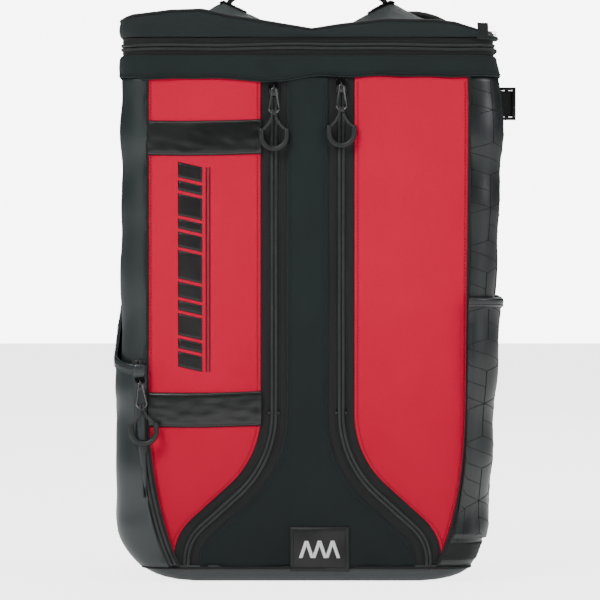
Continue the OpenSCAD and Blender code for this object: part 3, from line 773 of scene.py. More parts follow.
def edged(lo, hi, step, fold=(0, 0.5, 1.2, 2.2, 4.5)):
    """Columns between two edge lines, close together beside both edges."""
    width = np.maximum(hi - lo, 0.2 * MM)
    count = max(2, int(np.max(width) / step))
    near = np.array(fold) * MM
    squeeze = np.minimum(1, width * 0.45 / near[-1])[:, None]
    left = lo[:, None] + near[None] * squeeze
    right = (hi[:, None] - near[None] * squeeze)[:, ::-1]
    share = np.linspace(0, 1, count + 2)[1:-1]
    inner = left[:, -1:] + (right[:, :1] - left[:, -1:]) * share[None]
    return np.concatenate([left, inner, right], axis=1)


def fold_drop(rows, lo, hi, fold=1.3 * MM):
    """How far a folded edge rolls back, by the distance from it."""
    d = np.minimum(rows - lo[:, None], hi[:, None] - rows)
    d = np.clip(d, 0, fold)
    return fold - np.sqrt(np.maximum(fold ** 2 - (fold - d) ** 2, 0))


def front_band(
    name, lo, hi, top, foot, finish, out=0.0, step=5 * MM, thick=1.6 * MM, roll=1.3 * MM, mirror=False,
    rise=4 * MM,
):
    """A piece of cloth on the front between two upright edge lines, with folded edges."""
    z = levels(top, foot, rise)
    left, right = lo(z), hi(z)
    x = edged(left, right, step)
    rows = front_point(x, z[:, None], out - fold_drop(x, left, right, roll))
    if mirror:
        x = -x[:, ::-1]
        rows = front_point(x, z[:, None], out - fold_drop(-x, left, right, roll))
    return cloth(name, rows, finish, thick)


def crossing(outer):
    """The height where a line beside the front zip meets the coloured panel's edge."""
    z = np.linspace(90 * MM, BASE_H, 400)
    met = np.nonzero(zip_at(z, outer) >= edge_at(z) - 0.5 * MM)[0]
    return z[met[0]] if len(met) else BASE_H


def make_fronts():
    foot = crossing(TAPE_HALF)
    for side, word in ((-1, "left"), (1, "right")):
        panel = front_band(
            f"front_{word}_cloth", lambda z: zip_at(z, TAPE_HALF), edge_at,
            PANEL_TOP, foot, RED, mirror=side < 0,
        )
        settle_piece(panel, "bag", "coloured_cloth", f"front_{word}_panel")
        z = levels(PANEL_TOP - 4 * MM, foot + 6 * MM, 4 * MM)
        for line, gap in ((zip_at(z, TAPE_HALF), 3.2 * MM), (edge_at(z), -3.4 * MM)):
            way = front_point(side * (line + gap), z, 0.1 * MM)
            stitch("bag", way, TO_FRONT, RED_THREAD)
        tape = front_band(
            f"front_{word}_zip_tape", lambda z: zip_at(z, -TAPE_HALF - 2 * MM),
            lambda z: np.minimum(zip_at(z, TAPE_HALF + 2 * MM), edge_at(z)),
            PANEL_TOP + 1 * MM, BASE_H - 1 * MM,
            TAPE, out=-1.4 * MM, step=3 * MM, thick=0.9 * MM, roll=0.3 * MM, mirror=side < 0,
        )
        settle_piece(tape, "bag", "zip_tape", f"front_{word}_tape")
    middle_piece = front_band(
        "front_centre_cloth", lambda z: -zip_at(z, -TAPE_HALF), lambda z: zip_at(z, -TAPE_HALF),
        PANEL_TOP, BASE_H, DARK, step=5 * MM,
    )
    settle_piece(middle_piece, "bag", "dark_cloth", "front_centre_panel")
    z = levels(PANEL_TOP - 4 * MM, BASE_H + 8 * MM, 4 * MM)
    for side in (-1, 1):
        way = front_point(side * zip_at(z, -TAPE_HALF - 3 * MM), z, 0.1 * MM)
        stitch("bag", way, TO_FRONT)


def coil_line(line, normals, across, name, body, nodes, pitch=COIL_PITCH):
    """Both halves of a zip coil along a line: wire wound round each tape's edge, meeting in the middle."""
    total = along(line)[-1]
    turns = int(total / pitch)
    steps = turns * 7
    spots = np.linspace(0, total, steps + 1)
    centre = near_rows(line, line, spots)
    n, a = unit(near_rows(line, normals, spots)), unit(near_rows(line, across, spots))
    turn = spots / pitch * 2 * math.pi
    ways = []
    for side, phase in ((-1, 0.0), (1, math.pi)):
        reach = side * 1.75 * MM + np.cos(turn + phase) * 1.15 * MM
        height = np.sin(turn + phase) * 0.62 * MM + 0.75 * MM
        ways.append(centre + a * reach[:, None] + n * height[:, None])
    settle_piece(bars(name, ways, COIL_WIRE, COIL, sides=5, up=tuple(n[0])), body, "zip_coil", *nodes)
    for gap in (-5.2 * MM, 5.2 * MM):
        stitch(body, line + unit(across) * gap, normals, pitch=2.4 * MM, length=1.9 * MM, radius=0.34 * MM)


def front_zip_line(side):
    """The middle line of a front zip on its tape, with its outward and sideways directions."""
    line = evenly(ZIP_MIDDLE, 3 * MM)
    line = line[line[:, 1] < PANEL_TOP]
    points = front_point(side * line[:, 0], line[:, 1], -1.35 * MM)
    ahead = unit(np.gradient(points, axis=0))
    n = np.tile([0, -1.0, 0], (len(points), 1))
    return points, n, np.cross(ahead, n)


def make_front_coils():
    for side, word in ((-1, "left"), (1, "right")):
        points, n, across = front_zip_line(side)
        coil_line(points, n, across, f"front_{word}_zip_teeth", "bag", [f"front_{word}_coil"])
    stops = [soft_block(start, end, 0.35 * MM) for start, end in stop_boxes()]
    solid("zip_end_stops", stops, METAL, "bag", "slider_metal", "zip_stops")


def stop_boxes():
    z0, z1 = low("zip_stops")[2], high("zip_stops")[2]
    y0, y1 = low("zip_stops")[1] - 0.4 * MM, high("zip_stops")[1] - 0.6 * MM
    for side in (-1, 1):
        for half in (-1, 1):
            x = side * ZIP_X + half * 4.3 * MM
            yield (x - 0.9 * MM, y0, z0), (x + 0.9 * MM, y1, z1)


def soft_block(lo, hi, bevel, cuts=0, shape=None):
    """Points, faces and lay of a box with rounded edges; shape moves the points afterwards."""
    lo, hi = np.array(lo), np.array(hi)
    bm = bmesh.new()
    bmesh.ops.create_cube(bm, size=1)
    for v in bm.verts:
        v.co = Vector(lo + (np.array(v.co) + 0.5) * (hi - lo))
    bmesh.ops.bevel(bm, geom=bm.edges[:], offset=bevel, segments=3, profile=0.5, affect="EDGES")
    if cuts:
        longest = [e for e in bm.edges if e.calc_length() > (hi - lo).min() * 0.5]
        bmesh.ops.subdivide_edges(bm, edges=longest, cuts=cuts, use_grid_fill=True)
    bm.verts.index_update()
    verts = np.array([v.co[:] for v in bm.verts])
    faces = [tuple(v.index for v in f.verts) for f in bm.faces]
    bm.free()
    if shape:
        verts = shape(verts)
    lay = np.stack([verts[:, 0] + verts[:, 1], verts[:, 2], verts[:, 0] * 0 + 0.01], axis=1)
    return verts, faces, lay


def placed(part, place):
    verts, faces, lay = part
    return verts @ place[1].T + place[0], faces, lay


# ---------------------------------------------------------------- sides, base and back
def make_sides():
    z = levels(PANEL_TOP, BASE_H, 5 * MM)
    for side, word, finish, slot in (
        (-1, "left", COATED, "coated_cloth"), (1, "right", EMBOSSED, "embossed_cloth")
    ):
        rows = side_grid(side, SIDE_STATIONS[None], z[:, None])
        settle_piece(cloth(f"{word}_side_cloth", rows, finish, 2 * MM), "bag", slot, f"{word}_side_panel")
        for u, end in ((0.004, "front"), (0.996, "rear")):
            edge = side_point(side, u, z, 0.3 * MM)
            piping = bars(f"{word}_{end}_seam_cord", [edge], 1.5 * MM, BINDING, 8)
            settle_piece(piping, "bag", "webbing")
        way = side_point(side, 0.035, z[2:-2], 0.15 * MM)
        stitch("bag", way, side_normal(side, np.full(len(z) - 4, 0.035), z[2:-2]))


TILE = 30 * MM


def tile_lines():
    """Lines of a block pattern around a six-sided cell: rim, spokes, and a line halving each lozenge."""
    corner = [
        TILE * np.array([math.cos(math.radians(30 + 60 * k)), math.sin(math.radians(30 + 60 * k))])
        for k in range(6)
    ]
    hub = np.zeros(2)
    lines = [(corner[k], corner[k + 1]) for k in range(3)]
    for k in (1, 3, 5):
        a, b, c = corner[k], corner[(k + 1) % 6], corner[(k + 2) % 6]
        lines.append((hub, a))
        lines.append(((hub + c) / 2, (a + b) / 2) if k != 3 else ((hub + a) / 2, (c + b) / 2))
    return lines


def tiles(u0, u1, z0, z1, surface):
    """Thin pressed lines that form blocks, laid on a surface and cut off at its edges."""
    lines = []
    wide, tall = TILE * math.sqrt(3), TILE * 1.5
    for row in range(int(z0 / tall) - 1, int(z1 / tall) + 2):
        for col in range(-1, int(SIDE_LENGTH / wide) + 2):
            cell = np.array([(col + row % 2 / 2) * wide, row * tall])
            for a, b in tile_lines():
                t = np.linspace(0.01, 0.99, 11)[:, None]
                way = cell + a + (b - a) * t
                u, z = way[:, 0] / SIDE_LENGTH, way[:, 1]
                kept = (u > u0) & (u < u1) & (z > z0) & (z < z1)
                if kept.sum() > 1:
                    lines.append(surface(u[kept], z[kept]))
    return lines


def make_base():
    def ring(z, inset):
        hw = half_width(np.array(z)) - inset
        r = max(CORNER_R - inset, 4 * MM)
        depth = BACK_Y - inset
        corners = [
            (hw - r, -depth + r, -90), (hw - r, depth - r, 0), (-hw + r, depth - r, 90),
            (-hw + r, -depth + r, 180),
        ]
        points = []
        for x, y, start in corners:
            points += list(quarter(x, y, r, start, 9))
        points = np.array(points + points[:1])
        return resample(points, np.linspace(0, along(points)[-1], 181)[:-1])
    rows = []
    for z, tuck in (
        (BASE_H + 1.5 * MM, 0.6), (BASE_H - 1 * MM, 0.2), (10 * MM, 0.4), (6.5 * MM, 1.5), (3.5 * MM, 3.4),
        (1.4 * MM, 6.4), (0.3 * MM, 10), (0, 14),
    ):
        flat = ring(z, tuck * MM)
        rows.append(np.concatenate([flat, np.full((180, 1), z)], axis=1))
    foot = rows[-1]
    for share in (0.85, 0.6, 0.35, 0.12, 0.01):
        rows.append(foot * [share, share, 1] + [0, 0, 0.2 * MM])
    rows = np.array(rows)
    rows[..., 0] += slouch(rows[..., 0], rows[..., 2])
    shell = cloth("base_cloth", rows, COATED, 1.6 * MM, loop=True)
    settle_piece(shell, "bag", "coated_cloth", "base_panel")
    seam = rows[1] + unit(rows[1] * [1, 1, 0]) * 0.4 * MM
    settle_piece(bars("base_seam_cord", [seam], 1.3 * MM, BINDING, 8, closed=True), "bag", "webbing")


def make_back():
    z = levels(PANEL_TOP, BASE_H, 6 * MM)
    hi = edge_at(z)
    x = edged(-hi, hi, 8 * MM)
    relief = np.sin(np.pi * np.clip((x / hi[:, None] + 1) / 2, 0, 1)) ** 0.5 * 1.5 * MM
    relief += ripples(x, z[:, None], 31, 60 * MM) * 0.5 * MM * smooth(hi[:, None] - np.abs(x), 0, 20 * MM)
    rows = np.stack([x, BACK_Y + relief - fold_drop(x, -hi, hi), z[:, None] + 0 * x], axis=-1)[:, ::-1]
    settle_piece(cloth("back_cloth", rows, DARK, 2 * MM), "bag", "dark_cloth", "back_panel")


# ---------------------------------------------------------------- the rim, its zip and the lid
def rim(inset, count=None, closed=True, stop=None):
    """The body's outline seen from above, from the rear left corner round the front to the rear right one."""
    r = CORNER_R - inset
    x, y = SIDE_X - CORNER_R, BACK_Y - CORNER_R
    points = [(-x - r, y)]
    for cx, cy, start in ((-x, -y, 180), (x, -y, 270)):
        points += list(quarter(cx, cy, r, start, 13))
    points.append((x + r, y))
    if closed:
        for cx, cy, start in ((x, y, 0), (-x, y, 90)):
            points += list(quarter(cx, cy, r, start, 13))[1:]
        points = np.array(points)
    else:
        points = np.array([(-x - r, stop)] + points[1:-1] + [(x + r, stop)])
    length = along(points)[-1]
    return resample(points, np.linspace(0, length, (count or int(length / (5 * MM))) + 1))


def rim_outward(points):
    ahead = unit(np.gradient(points, axis=0))
    return np.stack([ahead[:, 1], -ahead[:, 0]], axis=1)


def rim_rows(base, heights, outs):
    """A grid on the rim: one row for each height, standing out from the outline."""
    n = rim_outward(base)
    rows = []
    for z, out in zip(heights, outs):
        flat = base + n * (out[:, None] if np.ndim(out) else out)
        z = np.broadcast_to(z, len(base))
        x = flat[:, 0] + slouch(flat[:, 0], z)
        rows.append(np.stack([x, flat[:, 1], z], axis=1))
    return np.array(rows)


CREASE = np.array([
    [-172, 517], [-160, 521], [-150, 522], [-126, 525], [-97, 526], [-70, 520], [-44, 516], [4, 508],
    [29, 512], [71, 517], [119, 516], [135, 514], [154, 508], [168, 500], [172, 499],
]) * MM
PEAK_X = 82 * MM
PEAK_Y = 84 * MM
PEAK_RISE = 27 * MM
PEAK_SPREAD = 58 * MM
LID_LEVEL = 517 * MM

def lid_height(x, y):
    """Height of the lid's cloth: creased in front, sagging in the middle, drawn up under the handle."""
    front = np.interp(x, CREASE[:, 0], CREASE[:, 1])
    ax = np.abs(x)
    sag = LID_LEVEL - 9 * MM * hump(x, 8 * MM, 48 * MM) - 5 * MM * smooth(ax, 130 * MM, SIDE_X)
    tent = np.where(ax < PEAK_X, ax / PEAK_X, 1 - (ax - PEAK_X) / PEAK_SPREAD).clip(0, 1) ** 1.25
    peak = PEAK_RISE * tent * hump(y, PEAK_Y, 46 * MM)
    share = smooth(y, FRONT_Y, FRONT_Y + 120 * MM)
    folds = ripples(x, y, 41, 58 * MM) * 1.4 * MM + ripples(x, y, 42, 22 * MM) * 0.35 * MM
    inside = smooth(np.minimum(SIDE_X - ax, BACK_Y - np.abs(y)), 0, 25 * MM)
    level = front * (1 - share) + sag * share
    return level + peak * (0.4 + 0.6 * inside) + folds * inside + 2.2 * MM * inside


def make_top_band():
    base = rim(0, 216)
    s = along(base)
    wave = np.where(base[:, 1] < FRONT_Y + 1 * MM, 1.0, 0.4)
    x = base[:, 0]
    dip = 2.4 * MM * (1 - smooth(x, -25 * MM, 12 * MM)) + 3.4 * MM * hump(x, -32 * MM, 20 * MM)
    foot = PANEL_TOP - 0.6 * MM - wave * (dip + 0.5 * MM * np.sin(s * 70) + 0.4 * MM * np.sin(s * 131 + 1))
    puff = ripples(s, s * 0, 51, 40 * MM) * 0.6 * MM
    heights = [BAND_TOP + 1 * MM, BAND_TOP + 0.4 * MM]
    outs = [0.2 * MM, 0.9 * MM]
    for share in np.linspace(0.08, 0.92, 9):
        slip = 30 * MM * share
        fold = 1.9 * MM * hump(x, -58 * MM + slip, 5 * MM) - 1.3 * MM * hump(x, -47 * MM + slip, 6 * MM)
        fold += (
            0.9 * MM * hump(x, -118 * MM + 0.7 * slip, 7 * MM)
            + 0.8 * MM * hump(x, 34 * MM - 0.6 * slip, 8 * MM)
        )
        heights.append(BAND_TOP - share * (BAND_TOP - foot))
        outs.append(
            (1.8 + 1.0 * math.sin(math.pi * share)) * MM + puff + wave * fold * math.sin(math.pi * share)
        )
    rows = rim_rows(base, heights + [foot + 1.2 * MM, foot], outs + [2.6 * MM, 1.6 * MM])
    band = cloth("top_band_cloth", rows[:, :-1], DARK, 1.8 * MM, loop=True)
    settle_piece(band, "bag", "dark_cloth", "top_band")
    n3 = np.concatenate([rim_outward(base), np.zeros((len(base), 1))], axis=1)
    for z, out in ((BAND_TOP - 2.2 * MM, 1.7 * MM), (foot + 3 * MM, 2.8 * MM)):
        line = rim_rows(base, [z], [out])[0]
        stitch("bag", line, n3)


def make_lid_zip():
    stop = HINGE_Y - 1.5 * MM
    base = rim(0, 190, closed=False, stop=stop)
    s = along(base)
    sag = 0.5 * MM * np.sin(s * 23) + 0.3 * MM * np.sin(s * 61 + 2)
    n3 = np.concatenate([rim_outward(base), np.zeros((len(base), 1))], axis=1)
    for part, body, z0, z1 in (
        ("lower", "bag", BAND_TOP - 1 * MM, SPLIT_Z - 0.3 * MM),
        ("upper", "lid", SPLIT_Z + 0.3 * MM, SKIRT_Z + 1 * MM),
    ):
        heights = [z + sag for z in np.linspace(z1, z0, 5)]
        rows = rim_rows(base, heights, [-1.0 * MM] * 5)
        tape = cloth(f"lid_zip_{part}_tape", rows, TAPE, 0.9 * MM)
        settle_piece(tape, body, "zip_tape", f"lid_{part}_tape")
        middle_z = SPLIT_Z + sag + (1.75 if part == "upper" else -1.75) * MM
        centre = rim_rows(base, [middle_z], [-0.9 * MM])[0]
        total = along(centre)[-1]
        spots = np.linspace(0, total, int(total / COIL_PITCH) * 7 + 1)
        turn = spots / COIL_PITCH * 2 * math.pi + (math.pi if part == "upper" else 0)
        way = near_rows(centre, centre, spots)
        way = way + near_rows(centre, n3, spots) * (np.sin(turn) * 0.62 * MM + 0.8 * MM)[:, None]
        way[:, 2] += np.cos(turn) * 1.15 * MM
        teeth = bars(f"lid_zip_{part}_teeth", [way], COIL_WIRE, COIL, sides=5)
        settle_piece(teeth, body, "zip_coil", f"lid_{part}_coil")
        line = rim_rows(base, [SPLIT_Z + sag + (5.2 if part == "upper" else -5.2) * MM], [-0.95 * MM])[0]
        stitch(body, line, n3, pitch=2.4 * MM, length=1.9 * MM, radius=0.32 * MM)


def wall_rows(base, foot, out=1.2 * MM):
    """The lid's or the yoke's upright cloth, from the crease down to a level."""
    s = along(base)
    top = lid_height(base[:, 0], base[:, 1])
    puff = ripples(s, s * 0, 61, 34 * MM) * 0.7 * MM
    heights, outs = [], []
    for share, bulge in (
        (1.0, -0.4), (0.93, 0.6), (0.75, 1.4), (0.5, 1.9), (0.3, 1.6), (0.14, 1.1), (0.05, 0.6), (0.0, -0.3)
    ):
        heights.append(foot + (top - foot) * share)
        outs.append(out + (bulge - 0.4) * MM + puff * math.sin(math.pi * share))
    return rim_rows(base, heights, outs)


def make_lid():
    front = rim(0, 190, closed=False, stop=HINGE_Y - 1.2 * MM)
    skirt = cloth("lid_skirt_cloth", wall_rows(front, SKIRT_Z), TOP_DARK, 1.6 * MM)
    settle_piece(skirt, "lid", "dark_cloth", "lid_skirt")
    rear = rear_rim()
    yoke = cloth("yoke_cloth", wall_rows(rear, BAND_TOP - 1 * MM), TOP_DARK, 1.6 * MM)
    settle_piece(yoke, "bag", "dark_cloth", "rear_yoke")
    n3 = np.concatenate([rim_outward(front), np.zeros((len(front), 1))], axis=1)
    for z, out in ((SKIRT_Z + 3 * MM, 1.6 * MM), (SKIRT_Z + 5.2 * MM, 1.9 * MM)):
        stitch("lid", rim_rows(front, [z], [out])[0], n3)
    for body, base, name in (("lid", front, "lid_crease_cord"), ("bag", rear, "yoke_crease_cord")):
        top = lid_height(base[:, 0], base[:, 1])
        line = rim_rows(base, [top + 0.5 * MM], [0.6 * MM])[0]
        settle_piece(bars(name, [line], 1.5 * MM, BINDING, 8), body, "webbing")
    make_lid_sheet()


def rear_rim():
    """The outline behind the hinge, from the right side round the back to the left."""
    whole = rim(0, 432)
    x, y = whole[:, 0], whole[:, 1]
    start = np.nonzero((y > HINGE_Y + 0.8 * MM) & (x > SIDE_X - 1 * MM))[0][0]
    return np.concatenate([whole[start:-1], [[-SIDE_X, HINGE_Y + 0.8 * MM]]])[::2]


def make_lid_sheet():
    y = np.concatenate(
        [
            [FRONT_Y + 0.6 * MM, FRONT_Y + 2 * MM], np.linspace(FRONT_Y + 5 * MM, BACK_Y - 5 * MM, 50),
            [BACK_Y - 2 * MM, BACK_Y - 0.6 * MM],
        ]
    )
    over = np.maximum(np.abs(y) - (BACK_Y - CORNER_R), 0)
    half = SIDE_X - CORNER_R + np.sqrt(np.maximum(CORNER_R ** 2 - over ** 2, 0)) - 0.5 * MM
    share = np.sin(np.linspace(-1, 1, 65) * math.pi / 2 * 0.9) / math.sin(math.pi / 2 * 0.9)
    x = half[:, None] * share[None]
    z = lid_height(x, y[:, None])
    rows = np.stack([x + slouch(x, z), y[:, None] + 0 * x, z], axis=-1)[::-1]
    sheet = cloth("lid_top_cloth", rows, TOP_DARK, 1.5 * MM)
    start, end = (0, HINGE_Y + 10 * MM, LID_Z), (0, HINGE_Y - 10 * MM, LID_Z)
    across_joint(sheet, "dark_cloth", "bag", "lid", start, end, "lid_top")


# ---------------------------------------------------------------- trims on the front
def make_strips():
    for word, seed in (("upper", 71), ("lower", 72)):
        z0, z1 = low(f"{word}_strip")[2], high(f"{word}_strip")[2]
        z = levels(z1, z0, 2.6 * MM)
        inner, outer = zip_at(z, TAPE_HALF - 0.3 * MM), edge_at(z) - 0.3 * MM
        x = -edged(inner, outer, 4 * MM)[:, ::-1]
        share = ((z - z0) / (z1 - z0))[:, None]
        edge = np.minimum(share, 1 - share) * (z1 - z0)
        puff = smooth(edge, 0, 2.2 * MM) * 0.7 * MM + np.sin(np.pi * share) * 0.5 * MM
        creases = ripples(x, z[:, None], seed, 17 * MM, stretch=2.2) * 0.35 * MM * smooth(edge, 0, 6 * MM)
        drift = 1.3 * MM * np.sin((x + 0.05) * 25)
        rows = front_point(x, z[:, None] + drift, 0.6 * MM + puff + creases)
        settle_piece(
            cloth(f"{word}_strip_cloth", rows, STRIP, 1.0 * MM), "bag", "gloss_strip", f"{word}_strip"
        )
        for line in (z0 + 2.4 * MM, z1 - 2.4 * MM):
            lx = -np.linspace(zip_at(line, TAPE_HALF) + 3 * MM, edge_at(line) - 3 * MM, 30)
            way = front_point(lx, line + 1.3 * MM * np.sin((lx + 0.05) * 25), 1.5 * MM)
            stitch("bag", way, TO_FRONT)
        fold = z[2:-2]
        lx = -(zip_at(fold, TAPE_HALF) + 4.5 * MM)
        stitch("bag", front_point(lx, fold, 1.7 * MM), TO_FRONT)


def plate_on_front(name, corners, out, thick, finish, slot, nodes=(), step=2.5 * MM, dome=0.0):
    """A thin flat shape lying on the front's curve. Its corners (x, z) run clockwise from the top left."""
    c = np.array(corners)
    width = max(np.linalg.norm(c[1] - c[0]), np.linalg.norm(c[2] - c[3]))
    height = max(np.linalg.norm(c[3] - c[0]), np.linalg.norm(c[2] - c[1]))
    s = np.linspace(0, 1, max(3, int(width / step) + 1))[None, :, None]
    t = np.linspace(0, 1, max(3, int(height / step) + 1))[:, None, None]
    flat = (c[0] * (1 - s) + c[1] * s) * (1 - t) + (c[3] * (1 - s) + c[2] * s) * t
    rise = dome * (np.sin(np.pi * s) * np.sin(np.pi * t))[..., 0] ** 0.4
    rows = front_point(flat[..., 0], flat[..., 1], out + rise)
    piece = cloth(name, rows, finish, thick)
    return settle_piece(piece, "bag", slot, *([nodes] if nodes else []))


def box_corners(x0, x1, z0, z1, slant=0.0):
    return [(x0 + slant, z1), (x1 + slant, z1), (x1, z0), (x0, z0)]


PRINT_FOOT = 194 * MM
PRINT_SLANT = 5 * MM
PRINT_OUT = 0.32 * MM
PRINT_THICK = 0.5 * MM


def make_print():
    """A generic upright row of slanted bars with two thin rules, in black ink."""
    x0, x1 = -119 * MM, -97 * MM
    z = PRINT_FOOT
    for i, tall in enumerate((14, 9, 20, 9, 14, 26, 14, 9, 20, 9, 14)):
        top = z + tall * MM
        corners = [(x0, top + PRINT_SLANT), (x1, top), (x1, z), (x0, z + PRINT_SLANT)]
        plate_on_front(f"print_bar_{i + 1}", corners, PRINT_OUT, PRINT_THICK, INK, "gloss_strip")
        z += (tall + 3) * MM
    for i, x in enumerate((-93.5 * MM, -90.5 * MM)):
        plate_on_front(
            f"print_rule_{i + 1}", box_corners(x, x + 1.1 * MM, PRINT_FOOT, z - 3 * MM),
            PRINT_OUT, PRINT_THICK, INK, "gloss_strip", step=4 * MM,
        )


def make_patch():
    lo, hi = low("patch"), high("patch")
    plate_on_front(
        "patch_plate", box_corners(lo[0], hi[0], lo[2], hi[2]), 0.9 * MM, 1.2 * MM, PATCH,
        "patch_rubber", nodes="patch", dome=0.5 * MM,
    )
    inset = 3.2 * MM
    x0, x1, z0, z1 = lo[0] + inset, hi[0] - inset, lo[2] + inset, hi[2] - inset
    lines = [
        [(x0, z1), (x1, z1)], [(x1, z1), (x1, z0)], [(x1, z0), (x0, z0)], [(x0, z0), (x0, z1)],
    ]
    for a, b in lines:
        t = np.linspace(0, 1, 24)[:, None]
        way = np.array(a) + (np.array(b) - np.array(a)) * t
        stitch(
            "bag", front_point(way[:, 0], way[:, 1], 1.55 * MM), TO_FRONT, **PATCH_STITCH
        )
    centre_x, centre_z = (lo[0] + hi[0]) / 2, (lo[2] + hi[2]) / 2
    for i, step in enumerate((-1, 0, 1)):
        x = centre_x + step * 12 * MM
        for half in (-1, 1):
            foot, top = (x + half * 5.4 * MM, centre_z - 8 * MM), (x, centre_z + 8 * MM)
            corners = [
                (top[0] - 1.6 * MM, top[1]), (top[0] + 1.6 * MM, top[1]), (foot[0] + 1.6 * MM, foot[1]),
                (foot[0] - 1.6 * MM, foot[1]),
            ]
            plate_on_front(
                f"patch_mark_{i + 1}_{'left' if half < 0 else 'right'}", corners, 1.62 * MM, 0.5 * MM, MARK,
                "patch_rubber", step=2 * MM,
            )


# ---------------------------------------------------------------- pockets and the corner webbing
POCKET_REAR_U = U_CORNER + (U_REAR - U_CORNER) * (high("left_pocket")[1] - FRONT_Y - CORNER_R) / SIDE_RUN


def pocket_stations():
    return np.concatenate(
        [
            SIDE_STATIONS[SIDE_STATIONS < POCKET_REAR_U - 0.01],
            POCKET_REAR_U + np.array([-0.008, -0.003, 0, 0.001]),
        ]
    )


def pocket_zip_x(z):
    """How far out the middle of the left pocket's zip is, at a height."""
    slant = smooth(z, EDGE_BEND_Z - 60 * MM, EDGE_BEND_Z + 40 * MM)
    return edge_at(z) + 4.5 * MM + 3.5 * MM * slant


def rear_fade(u, reach=0.04):
    """1 on a pocket's face, falling to 0 at its sewn rear edge."""
    return np.sqrt(smooth(u, POCKET_REAR_U + 0.001, POCKET_REAR_U - reach))


LEFT_POCKET_TOP = 200 * MM
LEFT_POCKET_SLOPE = 0.35
LEFT_POCKET_OUT = 5.0 * MM


def left_pocket_top(u):
    """Height of the left pocket's open edge, which rises towards the back."""
    return LEFT_POCKET_TOP + LEFT_POCKET_SLOPE * (side_point(-1, u, 0.2)[..., 1] - FRONT_Y)


def make_left_pocket():
    u = pocket_stations()[None]
    top = left_pocket_top(u)
    share = np.concatenate([[0, 0.006, 0.02], np.linspace(0.045, 1, 38)])[:, None]
    z = top + (BASE_H - top) * share

    def start(level):
        return pocket_zip_x(level) + 5.0 * MM

    folds = ripples(u * SIDE_LENGTH, z, 81, 55 * MM) * 1.1 * MM
    folds = folds * smooth(share, 0.02, 0.2) * smooth(u, 0, 0.08)
    out = LEFT_POCKET_OUT * (0.35 + 0.65 * smooth(z, 15 * MM, 60 * MM)) * rear_fade(u)
    rows = side_grid(-1, u, z, out + folds + 0.4 * MM, start=start, relief=0.3)
    settle_piece(cloth("left_pocket_cloth", rows, COATED, 1.4 * MM), "bag", "coated_cloth", "left_pocket")
    drop = np.array([0, 0.6, 2.0, 4.0, 6.0, 8.0, 9.2, 9.8])[:, None] * MM
    proud = np.array([0.5, 1.2, 1.5, 1.5, 1.4, 1.3, 1.1, 0.5])[:, None] * MM
    hem_z = top + 0.6 * MM - drop
    hem_out = LEFT_POCKET_OUT * rear_fade(u) + proud
    rows = side_grid(-1, u, hem_z, hem_out + 0.4 * MM, start=start, relief=0.3)
    settle_piece(
        cloth("left_pocket_hem_cloth", rows, COATED, 1.0 * MM), "bag", "coated_cloth", "left_pocket_hem"
    )
    uu = np.linspace(0.01, POCKET_REAR_U - 0.02, 80)
    tz = left_pocket_top(uu)
    for gap, lift in ((3.6 * MM, 2.1 * MM), (8.2 * MM, 1.9 * MM)):
        out = LEFT_POCKET_OUT * rear_fade(uu) + lift
        way = side_point(-1, uu, tz - gap, out, start=start, relief=0.3)
        stitch("bag", way, side_normal(-1, uu, tz - gap))
    make_pocket_zip()


def make_pocket_zip():
    z = levels(high("left_pocket_tape")[2], BASE_H + 2 * MM, 4 * MM)
    middle_x = pocket_zip_x(z)
    rows = []
    for reach, back in (
        (-5.6, 3.4), (-5.0, 1.2), (-3.8, 0.3), (-1.0, 0.0), (1.0, 0.0), (3.8, 0.3), (5.6, 1.2)
    ):
        x = -(middle_x + reach * MM)
        rows.append(np.stack([x, np.full(len(z), FRONT_Y - 4.6 * MM + back * MM), z], axis=1))
    rows = np.array(rows[::-1]).transpose(1, 0, 2)
    tape = cloth("left_pocket_zip_tape", rows, TAPE, 0.9 * MM)
    settle_piece(tape, "bag", "zip_tape", "left_pocket_tape")
    line = np.stack([-middle_x, np.full(len(z), FRONT_Y - 4.7 * MM), z], axis=1)
    line = evenly(line, 3 * MM)
    n = np.tile([0, -1.0, 0], (len(line), 1))
    across = np.cross(unit(np.gradient(line, axis=0)), n)
    total = along(line)[-1]
    spots = np.linspace(0, total, int(total / COIL_PITCH) * 7 + 1)
    turn = spots / COIL_PITCH * 2 * math.pi
    centre, a = near_rows(line, line, spots), near_rows(line, across, spots)
    ways = []
    for side, phase in ((-1, 0.0), (1, math.pi)):
        reach = side * 1.7 * MM + np.cos(turn + phase) * 1.1 * MM
        way = centre + a * reach[:, None]
        way[:, 1] -= np.sin(turn + phase) * 0.6 * MM + 0.7 * MM
        ways.append(way)
    teeth = bars("left_pocket_zip_teeth", ways, COIL_WIRE, COIL, sides=5)
    settle_piece(teeth, "bag", "zip_coil", "left_pocket_coil")


def right_pocket_place(u, z, lift=0.0):
    """A point on the right pocket: close to the side at its foot, and standing off it at its open top."""
    top, foot = high("right_pocket")[2], low("right_pocket")[2]
    share = smooth(z, foot, top)
    rear = rear_fade(u, 0.06)
    front = smooth(u, -0.005, 0.05)
    deep = 0.8 * MM + (1.0 + 4.0 * share) * MM * rear * (0.3 + 0.7 * front)
    return side_point(1, u, z, deep + lift)


def right_pocket_face(u, z, lift=0.05 * MM):
    """The pocket's outside, with its soft folds and the dip of its open edge."""
    top, foot = high("right_pocket")[2], low("right_pocket")[2]
    dip = -3.0 * MM * hump(u, 0.28, 0.14) * smooth(z, foot, top)
    folds = (ripples(u * SIDE_LENGTH, z, 91, 60 * MM) + 1) * 0.7 * MM * smooth(u, 0, 0.08)
    folds = folds * smooth(u, POCKET_REAR_U, POCKET_REAR_U - 0.1)
    return right_pocket_place(u, z + dip, folds + 0.9 * MM + lift)


